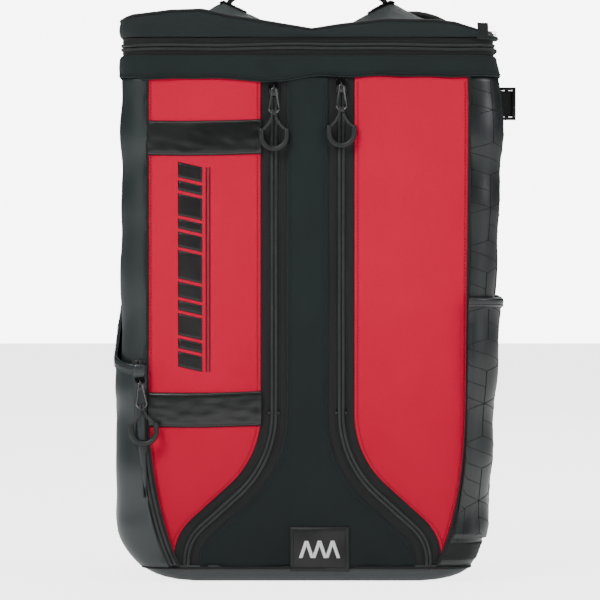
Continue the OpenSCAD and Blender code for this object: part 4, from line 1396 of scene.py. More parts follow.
def make_right_pocket():
    top, foot = high("right_pocket")[2], low("right_pocket")[2]
    u = pocket_stations()
    u = u[u > 0.002][None]
    z = np.concatenate([[top, top - 1 * MM, top - 3 * MM], levels(top - 6 * MM, foot, 5 * MM)])[:, None]
    dip = -3.0 * MM * hump(u, 0.28, 0.14)
    rows = right_pocket_face(u, z, 0)
    settle_piece(
        cloth("right_pocket_cloth", rows, EMBOSSED, 1.4 * MM), "bag", "embossed_cloth", "right_pocket"
    )
    drops = np.array([-0.6, 0, 1.4, 3.4, 5.6, 7.2, 7.8])[:, None] * MM
    proud = np.array([0.6, 1.8, 2.2, 2.2, 2.0, 1.6, 0.9])[:, None] * MM
    rows = right_pocket_place(u, top + dip - drops, proud + 0.9 * MM)
    settle_piece(
        cloth("right_pocket_hem_cloth", rows, EMBOSSED, 1.6 * MM), "bag", "embossed_cloth",
        "right_pocket_hem",
    )
    uu = np.linspace(0.01, POCKET_REAR_U - 0.02, 80)
    level = top - 5.8 * MM - 3.0 * MM * hump(uu, 0.28, 0.14)
    stitch("bag", right_pocket_place(uu, level, 3.1 * MM), side_normal(1, uu, level))


def make_pressed_lines():
    top, foot = high("right_pocket")[2], low("right_pocket")[2]
    lines = tiles(
        0.012, 0.99, top + 2 * MM, PANEL_TOP - 4 * MM, lambda u, z: side_point(1, u, z, 0.02 * MM)
    )
    lines += tiles(0.02, POCKET_REAR_U - 0.02, foot + 2 * MM, top - 8 * MM, right_pocket_face)
    lines += tiles(
        POCKET_REAR_U + 0.01, 0.99, foot, top + 2 * MM, lambda u, z: side_point(1, u, z, 0.02 * MM)
    )
    # the pressed lines are raised near-black bars: painted shade in place of the grooves' own shade
    solid(
        "pressed_lines", [tube_mesh(line, 0.36 * MM, 4) for line in lines], GROOVE_SHADE, "bag", "embossed_cloth"
    )


def make_corner_webbing():
    z0, z1 = low("corner_webbing")[2], high("corner_webbing")[2]
    u = pocket_stations()[None]
    z = levels(z1, z0, 2 * MM)[:, None]
    ribs = np.abs(np.sin((z - z0) / (4 * MM) * math.pi)) * 0.5 * MM
    rows = side_point(1, u, z, 1.0 * MM + ribs)
    settle_piece(cloth("corner_webbing_strap", rows, WEBBING, 1.2 * MM), "bag", "webbing", "corner_webbing")


# ---------------------------------------------------------------- sliders, rings and pulls
SLIDE_TOP = -1.2 * MM
WIRE_Y = SLIDE_TOP - 3 * MM
BRIDGE_Z = 0.5 * MM
RING_L = high("front_left_ring")[2] - low("front_left_ring")[2] - 1.6 * MM
SLIDER_HALF_W = (high("front_left_slider")[0] - low("front_left_slider")[0]) / 2
SLIDER_HALF_L = (high("front_left_slider")[2] - low("front_left_slider")[2]) / 2
TUBE_R = 2.5 * MM
POCKET_ZIP_LEAN = math.radians(4.425)
TUBE_TURN = (high("front_left_pull")[0] - low("front_left_pull")[0]) / 2 - TUBE_R
PULL_DROP = middle("front_left_slider")[2] - low("front_left_pull")[2]
CORD_L = 14 * MM


def upright(x, y, z, tilt=0.0):
    c, s = math.cos(tilt), math.sin(tilt)
    return np.array([x, y, z]), np.array([[c, 0, -s], [0, 1, 0], [s, 0, c]])


def on_lid_side(y, turn):
    """The slider's own frame on the right side: it looks out along +X and its mouth points along Y."""
    x_axis = np.array([0, 0, -turn])
    y_axis = np.array([-1, 0, 0])
    z_axis = np.cross(x_axis, y_axis)
    return np.array([SIDE_X + 0.4 * MM, y, SPLIT_Z]), np.stack([x_axis, y_axis, z_axis], axis=1)


def slider_parts(lips):
    """A zip slider about its own middle: domed top, bent bridge, side lips and under plate."""
    half_w, half_l = SLIDER_HALF_W, SLIDER_HALF_L

    def dome(v):
        w = v.copy()
        narrow = 1 - 0.3 * smooth(-v[:, 2], -0.2 * half_l, half_l)
        w[:, 0] *= narrow
        top = v[:, 1] < SLIDE_TOP - 0.5 * MM
        rise = (1 - (v[:, 0] / half_w) ** 2) * (1 - (v[:, 2] / half_l) ** 2)
        w[top, 1] -= 1.1 * MM * np.clip(rise[top], 0, 1)
        return w

    parts = [
        soft_block((-half_w, SLIDE_TOP - 1 * MM, -half_l), (half_w, SLIDE_TOP, half_l), 0.45 * MM, 6, dome)
    ]
    parts.append(soft_block(
        (-half_w + 0.4 * MM, 2.2 * MM, -half_l), (half_w - 0.4 * MM, 3.0 * MM, half_l), 0.3 * MM, 4,
    ))
    parts.append(
        soft_block((-0.6 * MM, SLIDE_TOP - 0.1 * MM, 2 * MM), (0.6 * MM, 2.3 * MM, 4.5 * MM), 0.2 * MM)
    )
    for side in lips:
        a, b = sorted((side * 3.5 * MM, side * half_w))
        parts.append(
            soft_block(
                (a, SLIDE_TOP - 0.4 * MM, -half_l + 0.6 * MM), (b, 0.6 * MM, half_l - 0.4 * MM), 0.25 * MM
            )
        )
    t = np.linspace(0, math.pi, 15)
    arch = np.stack(
        [0 * t, SLIDE_TOP - 0.7 * MM - 4.0 * MM * np.sin(t) ** 0.7, BRIDGE_Z + 2.75 * MM * np.cos(t)],
        axis=1,
    )
    parts.append(tube_mesh(arch, 0.75 * MM, 10, up=(1, 0, 0)))
    return parts


def ring_line():
    """A drop-shaped wire: narrow through the bridge, and round at its foot."""
    foot, top = BRIDGE_Z - RING_L + 4.5 * MM, BRIDGE_Z - 1.5 * MM
    lower_turn = np.linspace(math.radians(12), -math.pi - math.radians(12), 25)
    upper_turn = np.linspace(math.pi - 0.3, 0.3, 13)
    bottom = [(4.6 * MM * math.cos(a), foot + 4.5 * MM * math.sin(a)) for a in lower_turn]
    head = [(2.0 * MM * math.cos(a), top + 1.5 * MM * math.sin(a)) for a in upper_turn]
    flat = np.array(bottom + head)
    return np.stack([flat[:, 0], np.full(len(flat), WIRE_Y), flat[:, 1]], axis=1)


def pull_parts():
    """Cord hitched round the ring's foot, and a soft tube bent into a U, as two lists of parts."""
    base = np.array([0, WIRE_Y, BRIDGE_Z - RING_L])
    cord = []
    for side in (-1, 1):
        turn = np.linspace(-0.5 * math.pi, 1.25 * math.pi, 19)
        above = np.where(np.sin(turn) > 0, 2.6 * MM, 1.95 * MM)
        hitch = np.stack(
            [np.full(19, side * 1.35 * MM), np.cos(turn) * 1.95 * MM, np.sin(turn) * above], axis=1
        )
        cord.append(tube_mesh(base + hitch, 1.1 * MM, 8, up=(1, 0, 0)))
        t = np.linspace(0, 1, 14)[:, None]
        start = np.array([side * 1.35 * MM, 0.2 * MM, -1.9 * MM])
        end = np.array([side * (TUBE_TURN - 0.1 * MM), 0, -CORD_L - 2 * MM])
        bow = np.array([side * -1.1, 0, -0.9]) * MM * np.sin(np.pi * t)
        cord.append(tube_mesh(base + start + (end - start) * t + bow, 1.15 * MM, 8))
    saddle = np.stack(
        [np.linspace(-1.6, 1.6, 7) * MM, np.full(7, -2.1) * MM, np.full(7, -0.6) * MM], axis=1
    )
    cord.append(tube_mesh(base + saddle, 1.1 * MM, 8))
    turn_z = -PULL_DROP + TUBE_R + TUBE_TURN - (BRIDGE_Z - RING_L)
    leg = np.linspace(-CORD_L, turn_z + 0.6 * MM, 6)
    around = np.linspace(0, -math.pi, 27)
    down = np.stack([np.full(6, TUBE_TURN), 0 * leg, leg], axis=1)
    bend = np.stack([TUBE_TURN * np.cos(around), 0 * around, turn_z + TUBE_TURN * np.sin(around)], axis=1)
    line = np.concatenate([down, bend, down[::-1] * [-1, 1, 1]])
    size = np.full(len(line), TUBE_R)
    size[[0, -1]] = 0.86 * TUBE_R
    return cord, [tube_mesh(base + line, size, 14, up=(0, 1, 0))]


def hang(name, parts, place, finish, body, slot, *nodes):
    return solid(name, [placed(part, place) for part in parts], finish, body, slot, *nodes)


def make_sliders():
    pocket = middle("pocket_slider")
    places = {
        "front_left": upright(-ZIP_X, FRONT_Y, middle("front_left_slider")[2]),
        "front_right": upright(ZIP_X, FRONT_Y, middle("front_right_slider")[2]),
        "pocket": upright(pocket[0], FRONT_Y - 5 * MM, pocket[2], POCKET_ZIP_LEAN),
    }
    for word, place in places.items():
        hang(
            f"{word}_zip_slider", slider_parts((-1, 1)), place, METAL, f"{word}_runner", "slider_metal",
            f"{word}_slider",
        )
        wire = [tube_mesh(ring_line(), 0.8 * MM, 10, closed=True, up=(0, 1, 0))]
        hang(f"{word}_zip_ring", wire, place, WIRE, f"{word}_link", "ring_wire", f"{word}_ring")
        cord, tube = pull_parts()
        hang(f"{word}_pull_cord", cord, place, CORD, f"{word}_loop", "pull_cord", f"{word}_pull")
        hang(f"{word}_pull_tube", tube, place, TUBE, f"{word}_loop", "pull_cord", f"{word}_pull")
    for word, turn, lip in (("front", 1, 1), ("rear", -1, -1)):
        place = on_lid_side(middle(f"lid_{word}_slider")[1], turn)
        hang(
            f"lid_{word}_zip_slider", slider_parts((lip,)), place, METAL, f"lid_{word}_runner",
            "slider_metal", f"lid_{word}_slider",
        )
        half = [[2, 0, -9], [2, 0, -4], [1.9, 0, -1], [1, 0, 0.1]]
        loop = np.array([[-x, y, z] for x, y, z in half] + half[::-1]) * MM + [0, WIRE_Y, BRIDGE_Z]
        loop_body, pull = f"lid_{word}_loop", f"lid_{word}_pull"
        cord = [tube_mesh(evenly(loop, 0.8 * MM), 0.8 * MM, 8, up=(0, 1, 0))]
        hang(f"lid_{word}_pull_cord", cord, place, CORD, loop_body, "pull_cord", pull)
        z = np.array([-6.2, -6.5, -8, -12, -18, -24, -27.5, -29, -29.8]) * MM
        size = np.array([2.0, 2.35, 2.5, 2.5, 2.4, 2.5, 2.45, 1.9, 0.8]) * MM
        body = np.stack([0 * z, 0 * z + WIRE_Y, z + BRIDGE_Z], axis=1)
        tube = [tube_mesh(body, size, 14, up=(0, 1, 0))]
        hang(f"lid_{word}_pull_tube", tube, place, TUBE, loop_body, "pull_cord", pull)


# ---------------------------------------------------------------- webbing, straps and the handle
def strap_mesh(line, width_way, half, thick, up, cols=9):
    """Flat webbing along a line: width_way is the direction of its width at each point, up its thickness."""
    line = np.asarray(line, float)
    width_way = unit(np.broadcast_to(np.asarray(width_way, float), line.shape))
    up = unit(np.broadcast_to(np.asarray(up, float), line.shape))
    half = np.broadcast_to(half, len(line))
    s = np.linspace(-1, 1, cols)
    round_edge = 1 - 0.35 * np.abs(s) ** 6
    top = line[:, None] + width_way[:, None] * (s[None, :, None] * half[:, None, None])
    lift = up[:, None] * (round_edge[None, :, None] * thick / 2)
    outer, inner = top + lift, top - lift
    n = len(line)
    verts = np.concatenate([outer.reshape(-1, 3), inner.reshape(-1, 3)])
    length = along(line)
    across = (s[None] + 1) * half[:, None]
    lay = np.stack(
        np.broadcast_arrays(across, length[:, None], np.minimum(across, 2 * half[:, None] - across)), axis=2
    ).reshape(-1, 3)
    faces = []
    size = n * cols
    for i in range(n - 1):
        for j in range(cols - 1):
            a, b, c, d = i * cols + j, i * cols + j + 1, (i + 1) * cols + j + 1, (i + 1) * cols + j
            faces += [(a, b, c, d), (d + size, c + size, b + size, a + size)]
        for j, flip in ((0, False), (cols - 1, True)):
            a, d = i * cols + j, (i + 1) * cols + j
            faces.append((a, d, d + size, a + size) if not flip else (d, a, a + size, d + size))
    for i, flip in ((0, True), (n - 1, False)):
        for j in range(cols - 1):
            a, b = i * cols + j, i * cols + j + 1
            faces.append((a, b, b + size, a + size) if not flip else (b, a, a + size, b + size))
    return verts, faces, np.concatenate([lay, lay])


def strap_piece(name, parts, finish=None):
    """One unsettled piece from lengths of webbing, with all its faces turned outwards."""
    verts, faces, lay = join_parts(parts)
    piece = raw_piece(name, verts, faces, finish or WEBBING, lay)
    tidy_normals(piece)
    return piece


def webbing_piece(name, parts, body, finish=None, nodes=()):
    return settle_piece(strap_piece(name, parts, finish), body, "webbing", *nodes)


def tidy_normals(piece):
    bm = bmesh.new()
    bm.from_mesh(piece.data)
    bmesh.ops.recalc_face_normals(bm, faces=bm.faces[:])
    bm.to_mesh(piece.data)
    bm.free()


def make_handle():
    """A stout flat handle: an arch of doubled webbing, its ends box-stitched to the lid's raised corners."""
    lo, hi = low("haul_handle"), high("haul_handle")
    y = (lo[1] + hi[1]) / 2
    reach, top = (hi[0] - lo[0]) / 2 - 2.5 * MM, hi[2] - 2.5 * MM
    a = np.linspace(math.pi, 0, 61)
    x = reach * np.sign(np.cos(a)) * np.abs(np.cos(a)) ** 0.8
    foot = lid_height(np.array([-reach]), np.array([y]))[0] + 1.5 * MM
    z = foot + (top - foot) * np.sin(a) ** 0.8
    line = np.stack([x, 0 * x + y, z], axis=1)
    line = evenly(line, 3 * MM)
    ahead = unit(np.gradient(line, axis=0))
    width = np.tile([0, 1.0, 0], (len(line), 1))
    out = np.cross(width, ahead)
    half = 12 * MM - 3.2 * MM * smooth(line[:, 2], foot + 6 * MM, top - 2 * MM)
    grip = strap_mesh(line, width, half, 4.6 * MM, out)
    handle = strap_piece("haul_handle_webbing", [grip])
    start, end = (0, y, foot - 0.5 * MM), (0, y, foot + 7 * MM)
    across_joint(handle, "webbing", "bag", "handle", start, end, "haul_handle")
    parts = []
    for side in (-1, 1):
        cx = np.linspace(side * (reach - 17 * MM), side * (reach + 9 * MM), 12)
        cz = lid_height(cx, np.full(12, y)) + 1.4 * MM
        flat = np.stack([cx + slouch(cx, cz), np.full(12, y), cz], axis=1)
        ahead = unit(np.gradient(flat, axis=0))
        width = np.tile([0, 1.0, 0], (12, 1))
        parts.append(strap_mesh(flat, width, 12 * MM, 1.8 * MM, np.cross(ahead, width)))
        for way in (flat[1:-1] + [0, 10 * MM, 1.0 * MM], flat[1:-1] + [0, -10 * MM, 1.0 * MM]):
            stitch("bag", way, UP, **BOX_STITCH)
        t = np.linspace(0, 1, 10)
        for sign in (-1, 1):
            cross = resample(flat, t * along(flat)[-1])[1:-1] + np.array([0, 0, 1.0 * MM])
            cross[:, 1] += sign * np.linspace(-10, 10, 8) * MM
            stitch("bag", cross, UP, **BOX_STITCH)
    webbing_piece("haul_handle_feet", parts, "bag", nodes=["handle_anchors"])


def make_side_strap():
    lo, hi = low("side_strap"), high("side_strap")
    z0, z1 = lo[2], hi[2]
    y = (lo[1] + hi[1]) / 2
    parts = []
    centre_z = (z0 + z1) / 2
    x = np.linspace(lo[0] + 0.4 * MM, hi[0] - 1.0 * MM, 14)
    bow = 0.5 * MM * np.sin(np.linspace(0, math.pi, 14))
    for sign in (-1, 1):
        line = np.stack([x, y + sign * (0.5 * MM + bow * 0.4), 0 * x + centre_z], axis=1)
        parts.append(strap_mesh(line, UP, (z1 - z0) / 2, 0.9 * MM, TO_BACK))
    webbing_piece("side_strap_webbing", parts, "side_strap", nodes=["side_strap"])
    z = np.linspace(z0 + 1 * MM, z1 - 1 * MM, 12)
    base = np.stack([0 * z + SIDE_X, 0 * z + y, z], axis=1)
    base[:, 0] += 0.6 * MM
    binding = strap_mesh(base, TO_BACK, 5 * MM, 1.4 * MM, TO_RIGHT)
    webbing_piece("side_strap_binding", [binding], "bag")
    lo, hi = low("slider_buckle"), high("slider_buckle")
    rail = 3 * MM
    blocks = [
        soft_block((lo[0], lo[1], lo[2]), (hi[0], hi[1], lo[2] + rail), 0.8 * MM),
        soft_block((lo[0], lo[1], hi[2] - rail), (hi[0], hi[1], hi[2]), 0.8 * MM),
    ]
    for x0 in (lo[0], hi[0] - 3.5 * MM):
        blocks.append(
            soft_block(
                (x0, lo[1], lo[2] + 1 * MM), (x0 + 3.5 * MM, lo[1] + 1.3 * MM, hi[2] - 1 * MM), 0.4 * MM
            )
        )
    mid = (lo[0] + hi[0]) / 2
    blocks.append(
        soft_block(
            (mid - 1.75 * MM, hi[1] - 1.3 * MM, lo[2] + 1 * MM), (mid + 1.75 * MM, hi[1], hi[2] - 1 * MM),
            0.4 * MM,
        )
    )
    solid("side_buckle", blocks, BUCKLE, "buckle", "buckle_plastic", "slider_buckle")


STRAP_X = 95 * MM
STRAP_Z = 455 * MM
STRAP_R = 55 * MM
PAD_END_Z = high("right_strap_webbing")[2]
STRAP_Y = 136 * MM


def strap_centre(step=6 * MM):
    """The middle line of the right shoulder strap, in X and Z."""
    a = np.radians(np.linspace(150, 0, 40))
    bend = np.stack([STRAP_X + STRAP_R * np.cos(a), STRAP_Z + STRAP_R * np.sin(a)], axis=1)
    return evenly(np.concatenate([bend, [[STRAP_X + STRAP_R, PAD_END_Z + 1 * MM]]]), step)


def swell(piece, voxel, cap, pressure=4.0):
    """Blows a padded piece up like foam in a tight cover: remeshed, simulated, held to a cap, smoothed."""
    scene = bpy.context.scene
    bake(piece, "REMESH", mode="VOXEL", voxel_size=voxel)
    rest = points_of(piece.data)
    modifier = piece.modifiers.new("swell", "CLOTH")
    settings = modifier.settings
    settings.use_pressure = True
    settings.uniform_pressure_force = pressure
    settings.effector_weights.gravity = 0
    for step in range(1, 21):
        scene.frame_set(step)
    moved = points_of(piece.evaluated_get(bpy.context.evaluated_depsgraph_get()).to_mesh())
    piece.modifiers.remove(modifier)
    scene.frame_set(1)
    way = moved - rest
    far = np.linalg.norm(way, axis=1, keepdims=True)
    moved = rest + way * np.minimum(1, cap / np.maximum(far, 1e-9))
    piece.data.vertices.foreach_set("co", moved.ravel())
    piece.data.update()
    bake(piece, "SUBSURF", levels=1, render_levels=1)
    piece.data.polygons.foreach_set("use_smooth", [True] * len(piece.data.polygons))
    return piece


def points_of(mesh):
    flat = np.empty(len(mesh.vertices) * 3)
    mesh.vertices.foreach_get("co", flat)
    return flat.reshape(-1, 3)


def bake(piece, kind, **settings):
    modifier = piece.modifiers.new("shape", kind)
    for key, value in settings.items():
        setattr(modifier, key, value)
    shaped = bpy.data.meshes.new_from_object(piece.evaluated_get(bpy.context.evaluated_depsgraph_get()))
    piece.modifiers.remove(modifier)
    piece.data = shaped
    return shaped


def make_shoulder_straps():
    centre = strap_centre()
    length = along(centre)
    ahead = unit(np.gradient(centre, axis=0))
    side_way = np.stack([-ahead[:, 1], ahead[:, 0]], axis=1)
    share = length / length[-1]
    half = (30 - 5.4 * smooth(share, 0.45, 1.0) - 12 * (1 - smooth(share, 0, 0.2))) * MM
    for side, word in ((1, "right"), (-1, "left")):
        line = np.stack([side * centre[:, 0], 0 * length + STRAP_Y, centre[:, 1]], axis=1)
        width = np.stack([side * side_way[:, 0], 0 * length, side_way[:, 1]], axis=1)
        up = np.tile([0, 1.0, 0], (len(line), 1))
        core = strap_mesh(line, width, half - 2.5 * MM, 6.0 * MM, up, cols=11)
        pad = strap_piece(f"{word}_strap_padding", [core], FOAM)
        swell(pad, 4 * MM, 3.5 * MM)
        settle_piece(pad, f"{word}_strap", "foam_mesh", f"{word}_strap_pad")
        for sign, end in ((-1, "inner"), (1, "outer")):
            edge = line + width * (sign * (half - 0.6 * MM))[:, None]
            bind = bars(f"{word}_strap_{end}_binding", [edge], 3.4 * MM, BINDING, 10, up=(0, 1, 0))
            settle_piece(bind, f"{word}_strap", "webbing")
            way = edge + [0, 3.3 * MM, 0] + width * (-sign * 1.2 * MM)
            stitch(f"{word}_strap", way, up)
        back = slice(6, len(line) - 1)
        runner = strap_mesh(line[back] + [0, 4.9 * MM, 0], width[back], 12.5 * MM, 1.4 * MM, up[back])
        webbing_piece(f"{word}_strap_ribbon", [runner], f"{word}_strap")
        for sign in (-1, 1):
            stitch(f"{word}_strap", line[back] + [0, 5.7 * MM, 0] + width[back] * sign * 10 * MM, up[back])
        make_strap_root(side, word)
        make_ladder_lock(word)


def make_strap_root(side, word):
    """A doubled flap that runs out of the pad's upper end to the back panel, and is box-stitched there."""
    turn = math.radians(150)
    end = np.array([STRAP_X + STRAP_R * math.cos(turn), STRAP_Z + STRAP_R * math.sin(turn)])
    back = np.array([math.sin(turn), -math.cos(turn)]) * -1
    q = np.linspace(-16, 52, 30) * MM
    flat = end + back * q[:, None]
    y = STRAP_Y + 1.5 * MM - (STRAP_Y - BACK_Y - 1.5 * MM) * smooth(q, -8 * MM, 32 * MM)
    line = np.stack([side * flat[:, 0], y, flat[:, 1]], axis=1)
    width = np.tile([side * -back[1], 0, back[0]], (len(line), 1))
    up = np.cross(unit(np.gradient(line, axis=0)), unit(width))
    up *= np.sign(up[:, 1:2] + 1e-9)
    flap = strap_piece(f"{word}_strap_root", [strap_mesh(line, width, 16.5 * MM, 4.4 * MM, up)])
    start, stop = (line[0][0], BACK_Y + 2 * MM, flat[0][1]), (line[0][0], STRAP_Y, flat[0][1])
    across_joint(flap, "webbing", "bag", f"{word}_strap", start, stop)
    sewn = q > 34 * MM
    for offset in (-13.5 * MM, 13.5 * MM):
        stitch("bag", (line + unit(width) * offset + up * 2.3 * MM)[sewn], up[sewn], **BOX_STITCH)
    for spot in (20, 28):
        way = (
            line[spot] + unit(width)[spot] * np.linspace(-13.5, 13.5, 9)[:, None] * MM + up[spot] * 2.3 * MM
        )
        stitch("bag", way, up[spot], **BOX_STITCH)


LOCK_H = 26 * MM
LOCK_BAR = 4 * MM
LOCK_CHEEK = 3.9 * MM


def make_ladder_lock(word):
    lo, hi = low(f"{word}_strap_webbing"), high(f"{word}_strap_webbing")
    x = (lo[0] + hi[0]) / 2
    top = hi[2]
    y0, y1 = hi[1] - 6 * MM, hi[1]
    z0 = top - LOCK_H
    blocks = [
        soft_block(
            (x + s * 12.6 * MM - (0 if s > 0 else LOCK_CHEEK), y0, z0),
            (x + s * 12.6 * MM + (LOCK_CHEEK if s > 0 else 0), y1, top), 1.2 * MM,
        )
        for s in (-1, 1)
    ]
    for z in (z0, z0 + (LOCK_H - LOCK_BAR) / 2, top - LOCK_BAR):
        blocks.append(
            soft_block((x - 14 * MM, y0 + 1.2 * MM, z), (x + 14 * MM, y1 - 1.2 * MM, z + LOCK_BAR), 1.1 * MM)
        )
    strap, webbing = f"{word}_strap", f"{word}_strap_webbing"
    solid(f"{word}_ladder_lock", blocks, BUCKLE, strap, "buckle_plastic", webbing)
    foot_z = lo[2]
    route = np.array(
        [
            [y1 - 1.6 * MM, z0 + 14 * MM], [y1 - 0.6 * MM, z0 + 6 * MM], [y1 - 2.5 * MM, z0 - 1 * MM],
            [122 * MM, 108 * MM], [111 * MM, foot_z + 1 * MM],
        ]
    )
    route = evenly(route, 4 * MM)
    line = np.stack([np.full(len(route), x), route[:, 0], route[:, 1]], axis=1)
    ahead = unit(np.gradient(line, axis=0))
    width = np.tile([1.0, 0, 0], (len(line), 1))
    parts = [strap_mesh(line, width, 12.3 * MM, 1.4 * MM, np.cross(ahead, width))]
    webbing_piece(f"{word}_strap_lower_webbing", parts, strap, nodes=[webbing])


def make_anchors():
    lo, hi = low("strap_anchors"), high("strap_anchors")
    parts = []
    for side in (-1, 1):
        x = side * (hi[0] - 15.5 * MM)
        z = np.linspace(lo[2], hi[2], 12)
        line = np.stack([0 * z + x, 0 * z + BACK_Y + 1.6 * MM, z], axis=1)
        parts.append(strap_mesh(line, TO_RIGHT, 15 * MM, 1.8 * MM, TO_BACK))
        for dx in (-12.5 * MM, 12.5 * MM):
            stitch("bag", line + [dx, 1.0 * MM, 0], TO_BACK, **BOX_STITCH)
    webbing_piece("strap_anchor_patches", parts, "bag", nodes=["strap_anchors"])


def make_back_pads():
    for word in ("left", "right"):
        lo, hi = low(f"{word}_back_pad"), high(f"{word}_back_pad")
        count = 4
        height = (hi[2] - lo[2]) / count
        cells = []
        for i in range(count):
            a = np.array([lo[0] + 3 * MM, lo[1] + 0.6 * MM, lo[2] + i * height + 3 * MM])
            b = np.array([hi[0] - 3 * MM, hi[1] - 3.4 * MM, lo[2] + (i + 1) * height - 3 * MM])
            cells.append(soft_block(a, b, 1.6 * MM))
        spine = soft_block(
            (lo[0] + 5 * MM, lo[1] + 0.6 * MM, lo[2] + 5 * MM),
            (hi[0] - 5 * MM, hi[1] - 5 * MM, hi[2] - 5 * MM), 0.8 * MM,
        )
        verts, faces, lay = join_parts(cells + [spine])
        pad = raw_piece(f"{word}_back_padding", verts, faces, FOAM, lay)
        swell(pad, 4 * MM, 3 * MM)
        settle_piece(pad, "bag", "foam_mesh", f"{word}_back_pad")
        corner = 10 * MM
        outline = []
        for cx, cz, start in (
            (hi[0] - corner, hi[2] - corner, 0), (lo[0] + corner, hi[2] - corner, 90),
            (lo[0] + corner, lo[2] + corner, 180), (hi[0] - corner, lo[2] + corner, 270),
        ):
            outline += list(quarter(cx, cz, corner, start, 7))
        outline = evenly(np.array(outline + outline[:1]), 5 * MM)[:-1]
        frame_line = np.stack(
            [outline[:, 0], np.full(len(outline), lo[1] + 1.6 * MM), outline[:, 1]], axis=1
        )
        bind = bars(
            f"{word}_back_pad_binding", [frame_line], 1.9 * MM, BINDING, 8, closed=True, up=(0, 1, 0)
        )
        settle_piece(bind, "bag", "webbing")


# ---------------------------------------------------------------- the inside and the small tab
def make_inside():
    inset = 5.2 * MM
    z = levels(BAND_TOP - 4 * MM, 7 * MM, 12 * MM)
    rows = []
    for level in z:
        hw = half_width(np.array(level)) - inset
        y0, y1 = high("boot_divider")[1] + 0.3 * MM, BACK_Y - inset
        r = CORNER_R - inset
        right = quarter(hw - r, y1 - r, r, 0, 8)
        path = np.concatenate([[[hw, y0]], right, (right * [-1, 1])[::-1], [[-hw, y0]]])
        flat = resample(path, np.linspace(0, along(path)[-1], 90))
        ahead = unit(np.gradient(flat, axis=0))
        wave = ripples(np.linspace(0, 0.5, 90), np.full(90, level), 101, 50 * MM) * 0.7 * MM
        flat = flat + np.stack([-ahead[:, 1], ahead[:, 0]], axis=1) * (np.abs(wave) * 0.8)[:, None]
        rows.append(np.concatenate([flat, np.full((90, 1), level)], axis=1))
    settle_piece(cloth("main_lining_cloth", rows, LINING, 0.5 * MM), "bag", "lining_cloth", "main_lining")
    lo, hi = low("boot_divider"), high("boot_divider")
    z = levels(hi[2] - 1 * MM, lo[2] + 2 * MM, 9 * MM)
    half = half_width(z) - WALL - 1 * MM
    x = edged(-half, half, 9 * MM)
    quilt = (
        np.abs(np.sin(x / (60 * MM) * math.pi)) ** 0.4
        * np.abs(np.sin(z[:, None] / (60 * MM) * math.pi)) ** 0.4
    )
    rows = np.stack([x, lo[1] + 1.0 * MM - quilt * 0.7 * MM + 0 * x, z[:, None] + 0 * x], axis=-1)
    divider = cloth("boot_divider_padding", rows, LINING, 2.6 * MM)
    settle_piece(divider, "bag", "lining_cloth", "boot_divider")


def make_tab():
    """A folded loop of tape caught in the seam at the lid's right front corner."""
    angle = math.radians(-60)
    r = CORNER_R + 1.5 * MM
    centre = np.array([SIDE_X - CORNER_R + r * math.cos(angle), FRONT_Y + CORNER_R + r * math.sin(angle)])
    out = np.array([math.cos(angle), math.sin(angle), 0])
    z = np.linspace(high("lid_tab")[2], low("lid_tab")[2], 12)
    line = (
        np.stack([0 * z + centre[0], 0 * z + centre[1], z], axis=1)
        + out * (np.sin(np.linspace(0, math.pi, 12)) * 0.9 * MM)[:, None]
    )
    width = np.tile(np.cross(out, [0, 0, 1.0]), (12, 1))
    up = np.tile(out, (12, 1))
    webbing_piece(
        "lid_corner_tab", [strap_mesh(line, width, 5.8 * MM, 1.4 * MM, up)], "lid", finish=BINDING,
        nodes=["lid_tab"],
    )


# ---------------------------------------------------------------- setting the scene
FLOOR_SIZE = 14
FLOOR_Z = -0.5 * MM
PAPER = (0.9, 0.9, 0.9, 1)
LAMP_AIM = (0, 0, 0.25)
WALL_SEEN = 9.0
FRONT_ROOM = 0.1
REAR_WALL = 0.75
FLOOR_GLOW = 0.45
FLOOR_SEEN = 0.35
LIGHTS = (
    ("key", (-1.6, -1.9, 2.5), 1.5, 84),
    ("fill", (2.2, -1.5, 1.5), 1.4, 30),
    ("top", (0.1, 0.2, 2.4), 1.4, 34),
    ("rear", (0.4, 2.4, 1.7), 1.6, 26),
)


def make_room():
    """White walls behind and beside the bag and a dim room in front: coated cloth shines at its edges."""
    world = bpy.data.worlds.new("soft room")
    bpy.context.scene.world = world
    world.use_nodes = True
    tree = world.node_tree
    room = tree.nodes["Background"]
    seen = tree.nodes.new("ShaderNodeBackground")
    seen.inputs["Strength"].default_value = WALL_SEEN
    way = tree.nodes.new("ShaderNodeTexCoord")
    parts = tree.nodes.new("ShaderNodeSeparateXYZ")
    tree.links.new(way.outputs["Generated"], parts.inputs[0])
    wall = tree.nodes.new("ShaderNodeMapRange")
    wall.interpolation_type = "SMOOTHSTEP"
    for socket, value in (
        ("From Min", -0.75), ("From Max", 0.35), ("To Min", FRONT_ROOM), ("To Max", REAR_WALL)
    ):
        wall.inputs[socket].default_value = value
    tree.links.new(parts.outputs["Y"], wall.inputs["Value"])
    tree.links.new(wall.outputs[0], room.inputs["Strength"])
    ray = tree.nodes.new("ShaderNodeLightPath")
    either = tree.nodes.new("ShaderNodeMixShader")
    tree.links.new(ray.outputs["Is Camera Ray"], either.inputs[0])
    tree.links.new(room.outputs[0], either.inputs[1])
    tree.links.new(seen.outputs[0], either.inputs[2])
    tree.links.new(either.outputs[0], tree.nodes["World Output"].inputs[0])


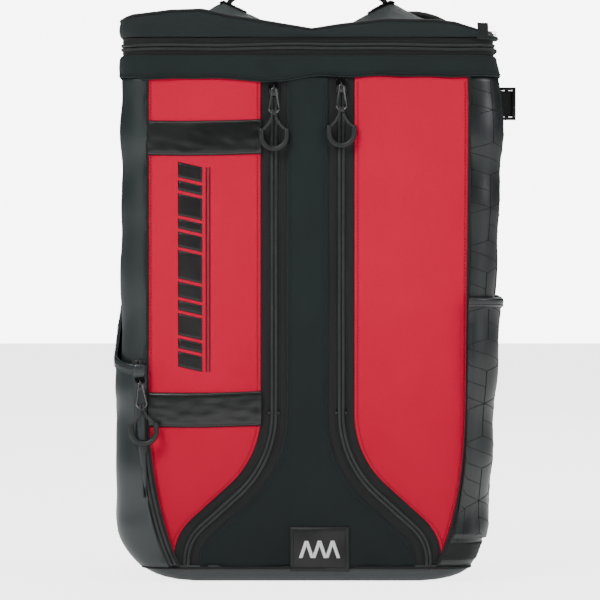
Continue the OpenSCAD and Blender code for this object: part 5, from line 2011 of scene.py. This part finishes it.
def make_set():
    bpy.ops.mesh.primitive_plane_add(size=FLOOR_SIZE, location=(0, 0, FLOOR_Z))
    floor = bpy.context.object
    floor.name = "floor"
    paper = Finish(
        "pale floor", PAPER, 0.7, Emission_Color=(1, 1, 1, 1), Emission_Strength=FLOOR_GLOW
    )
    paper.set("Roughness", paper.noise(0.4, 2) * 0.08 + 0.66)
    seen = paper.node("ShaderNodeLightPath", {}, out="Is Camera Ray") * FLOOR_SEEN
    glow = paper.node("ShaderNodeEmission", {}, Strength=WALL_SEEN)
    both = paper.node("ShaderNodeMixShader", {}, seen, Sum(paper, paper.shader.outputs[0]), glow)
    paper.tree.links.new(both.socket, paper.tree.nodes["Material Output"].inputs[0])
    floor.data.materials.append(paper.material)
    for name, place, size, power in LIGHTS:
        light = bpy.data.lights.new(name, "AREA")
        light.shape, light.size, light.energy = "DISK", size, power
        lamp = bpy.data.objects.new(name, light)
        lamp.location = place
        lamp.rotation_euler = (Vector(LAMP_AIM) - Vector(place)).to_track_quat("-Z", "Y").to_euler()
        bpy.context.scene.collection.objects.link(lamp)


LENS = 210
SENSOR = 36
FRAME_WIDTH = 552 * MM
AIM = (-7 * MM, FRONT_Y, 260 * MM)
EYE_RISE = 60 * MM


def make_camera():
    """Nearly level, from the front, through a long lens."""
    camera = bpy.data.cameras.new("camera")
    camera.lens = LENS
    camera.sensor_width = SENSOR
    viewer = bpy.data.objects.new("camera", camera)
    aim = Vector(AIM)
    viewer.location = aim + Vector((0, -FRAME_WIDTH * LENS / SENSOR, EYE_RISE))
    viewer.rotation_euler = (aim - viewer.location).to_track_quat("-Z", "Y").to_euler()
    bpy.context.scene.collection.objects.link(viewer)
    bpy.context.scene.camera = viewer


def finish_hidden_parts():
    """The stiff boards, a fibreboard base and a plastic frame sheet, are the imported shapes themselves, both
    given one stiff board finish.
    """
    board = hard_finish("stiff board", shade(96, 92, 86), shade(70, 66, 62), 0.7, grain=1.2, depth=0.1)
    for node in ("base_board", "frame_sheet"):
        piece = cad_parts[node]
        piece.data.materials.clear()
        piece.data.materials.append(board.material)


make_camera()
make_room()
make_set()
finish_hidden_parts()
make_fronts()
make_front_coils()
make_sides()
make_base()
make_back()
make_top_band()
make_lid_zip()
make_lid()
make_strips()
make_print()
make_patch()
make_left_pocket()
make_right_pocket()
make_pressed_lines()
make_corner_webbing()
make_sliders()
make_handle()
make_side_strap()
make_shoulder_straps()
make_anchors()
make_back_pads()
make_inside()
make_tab()
sew_all()
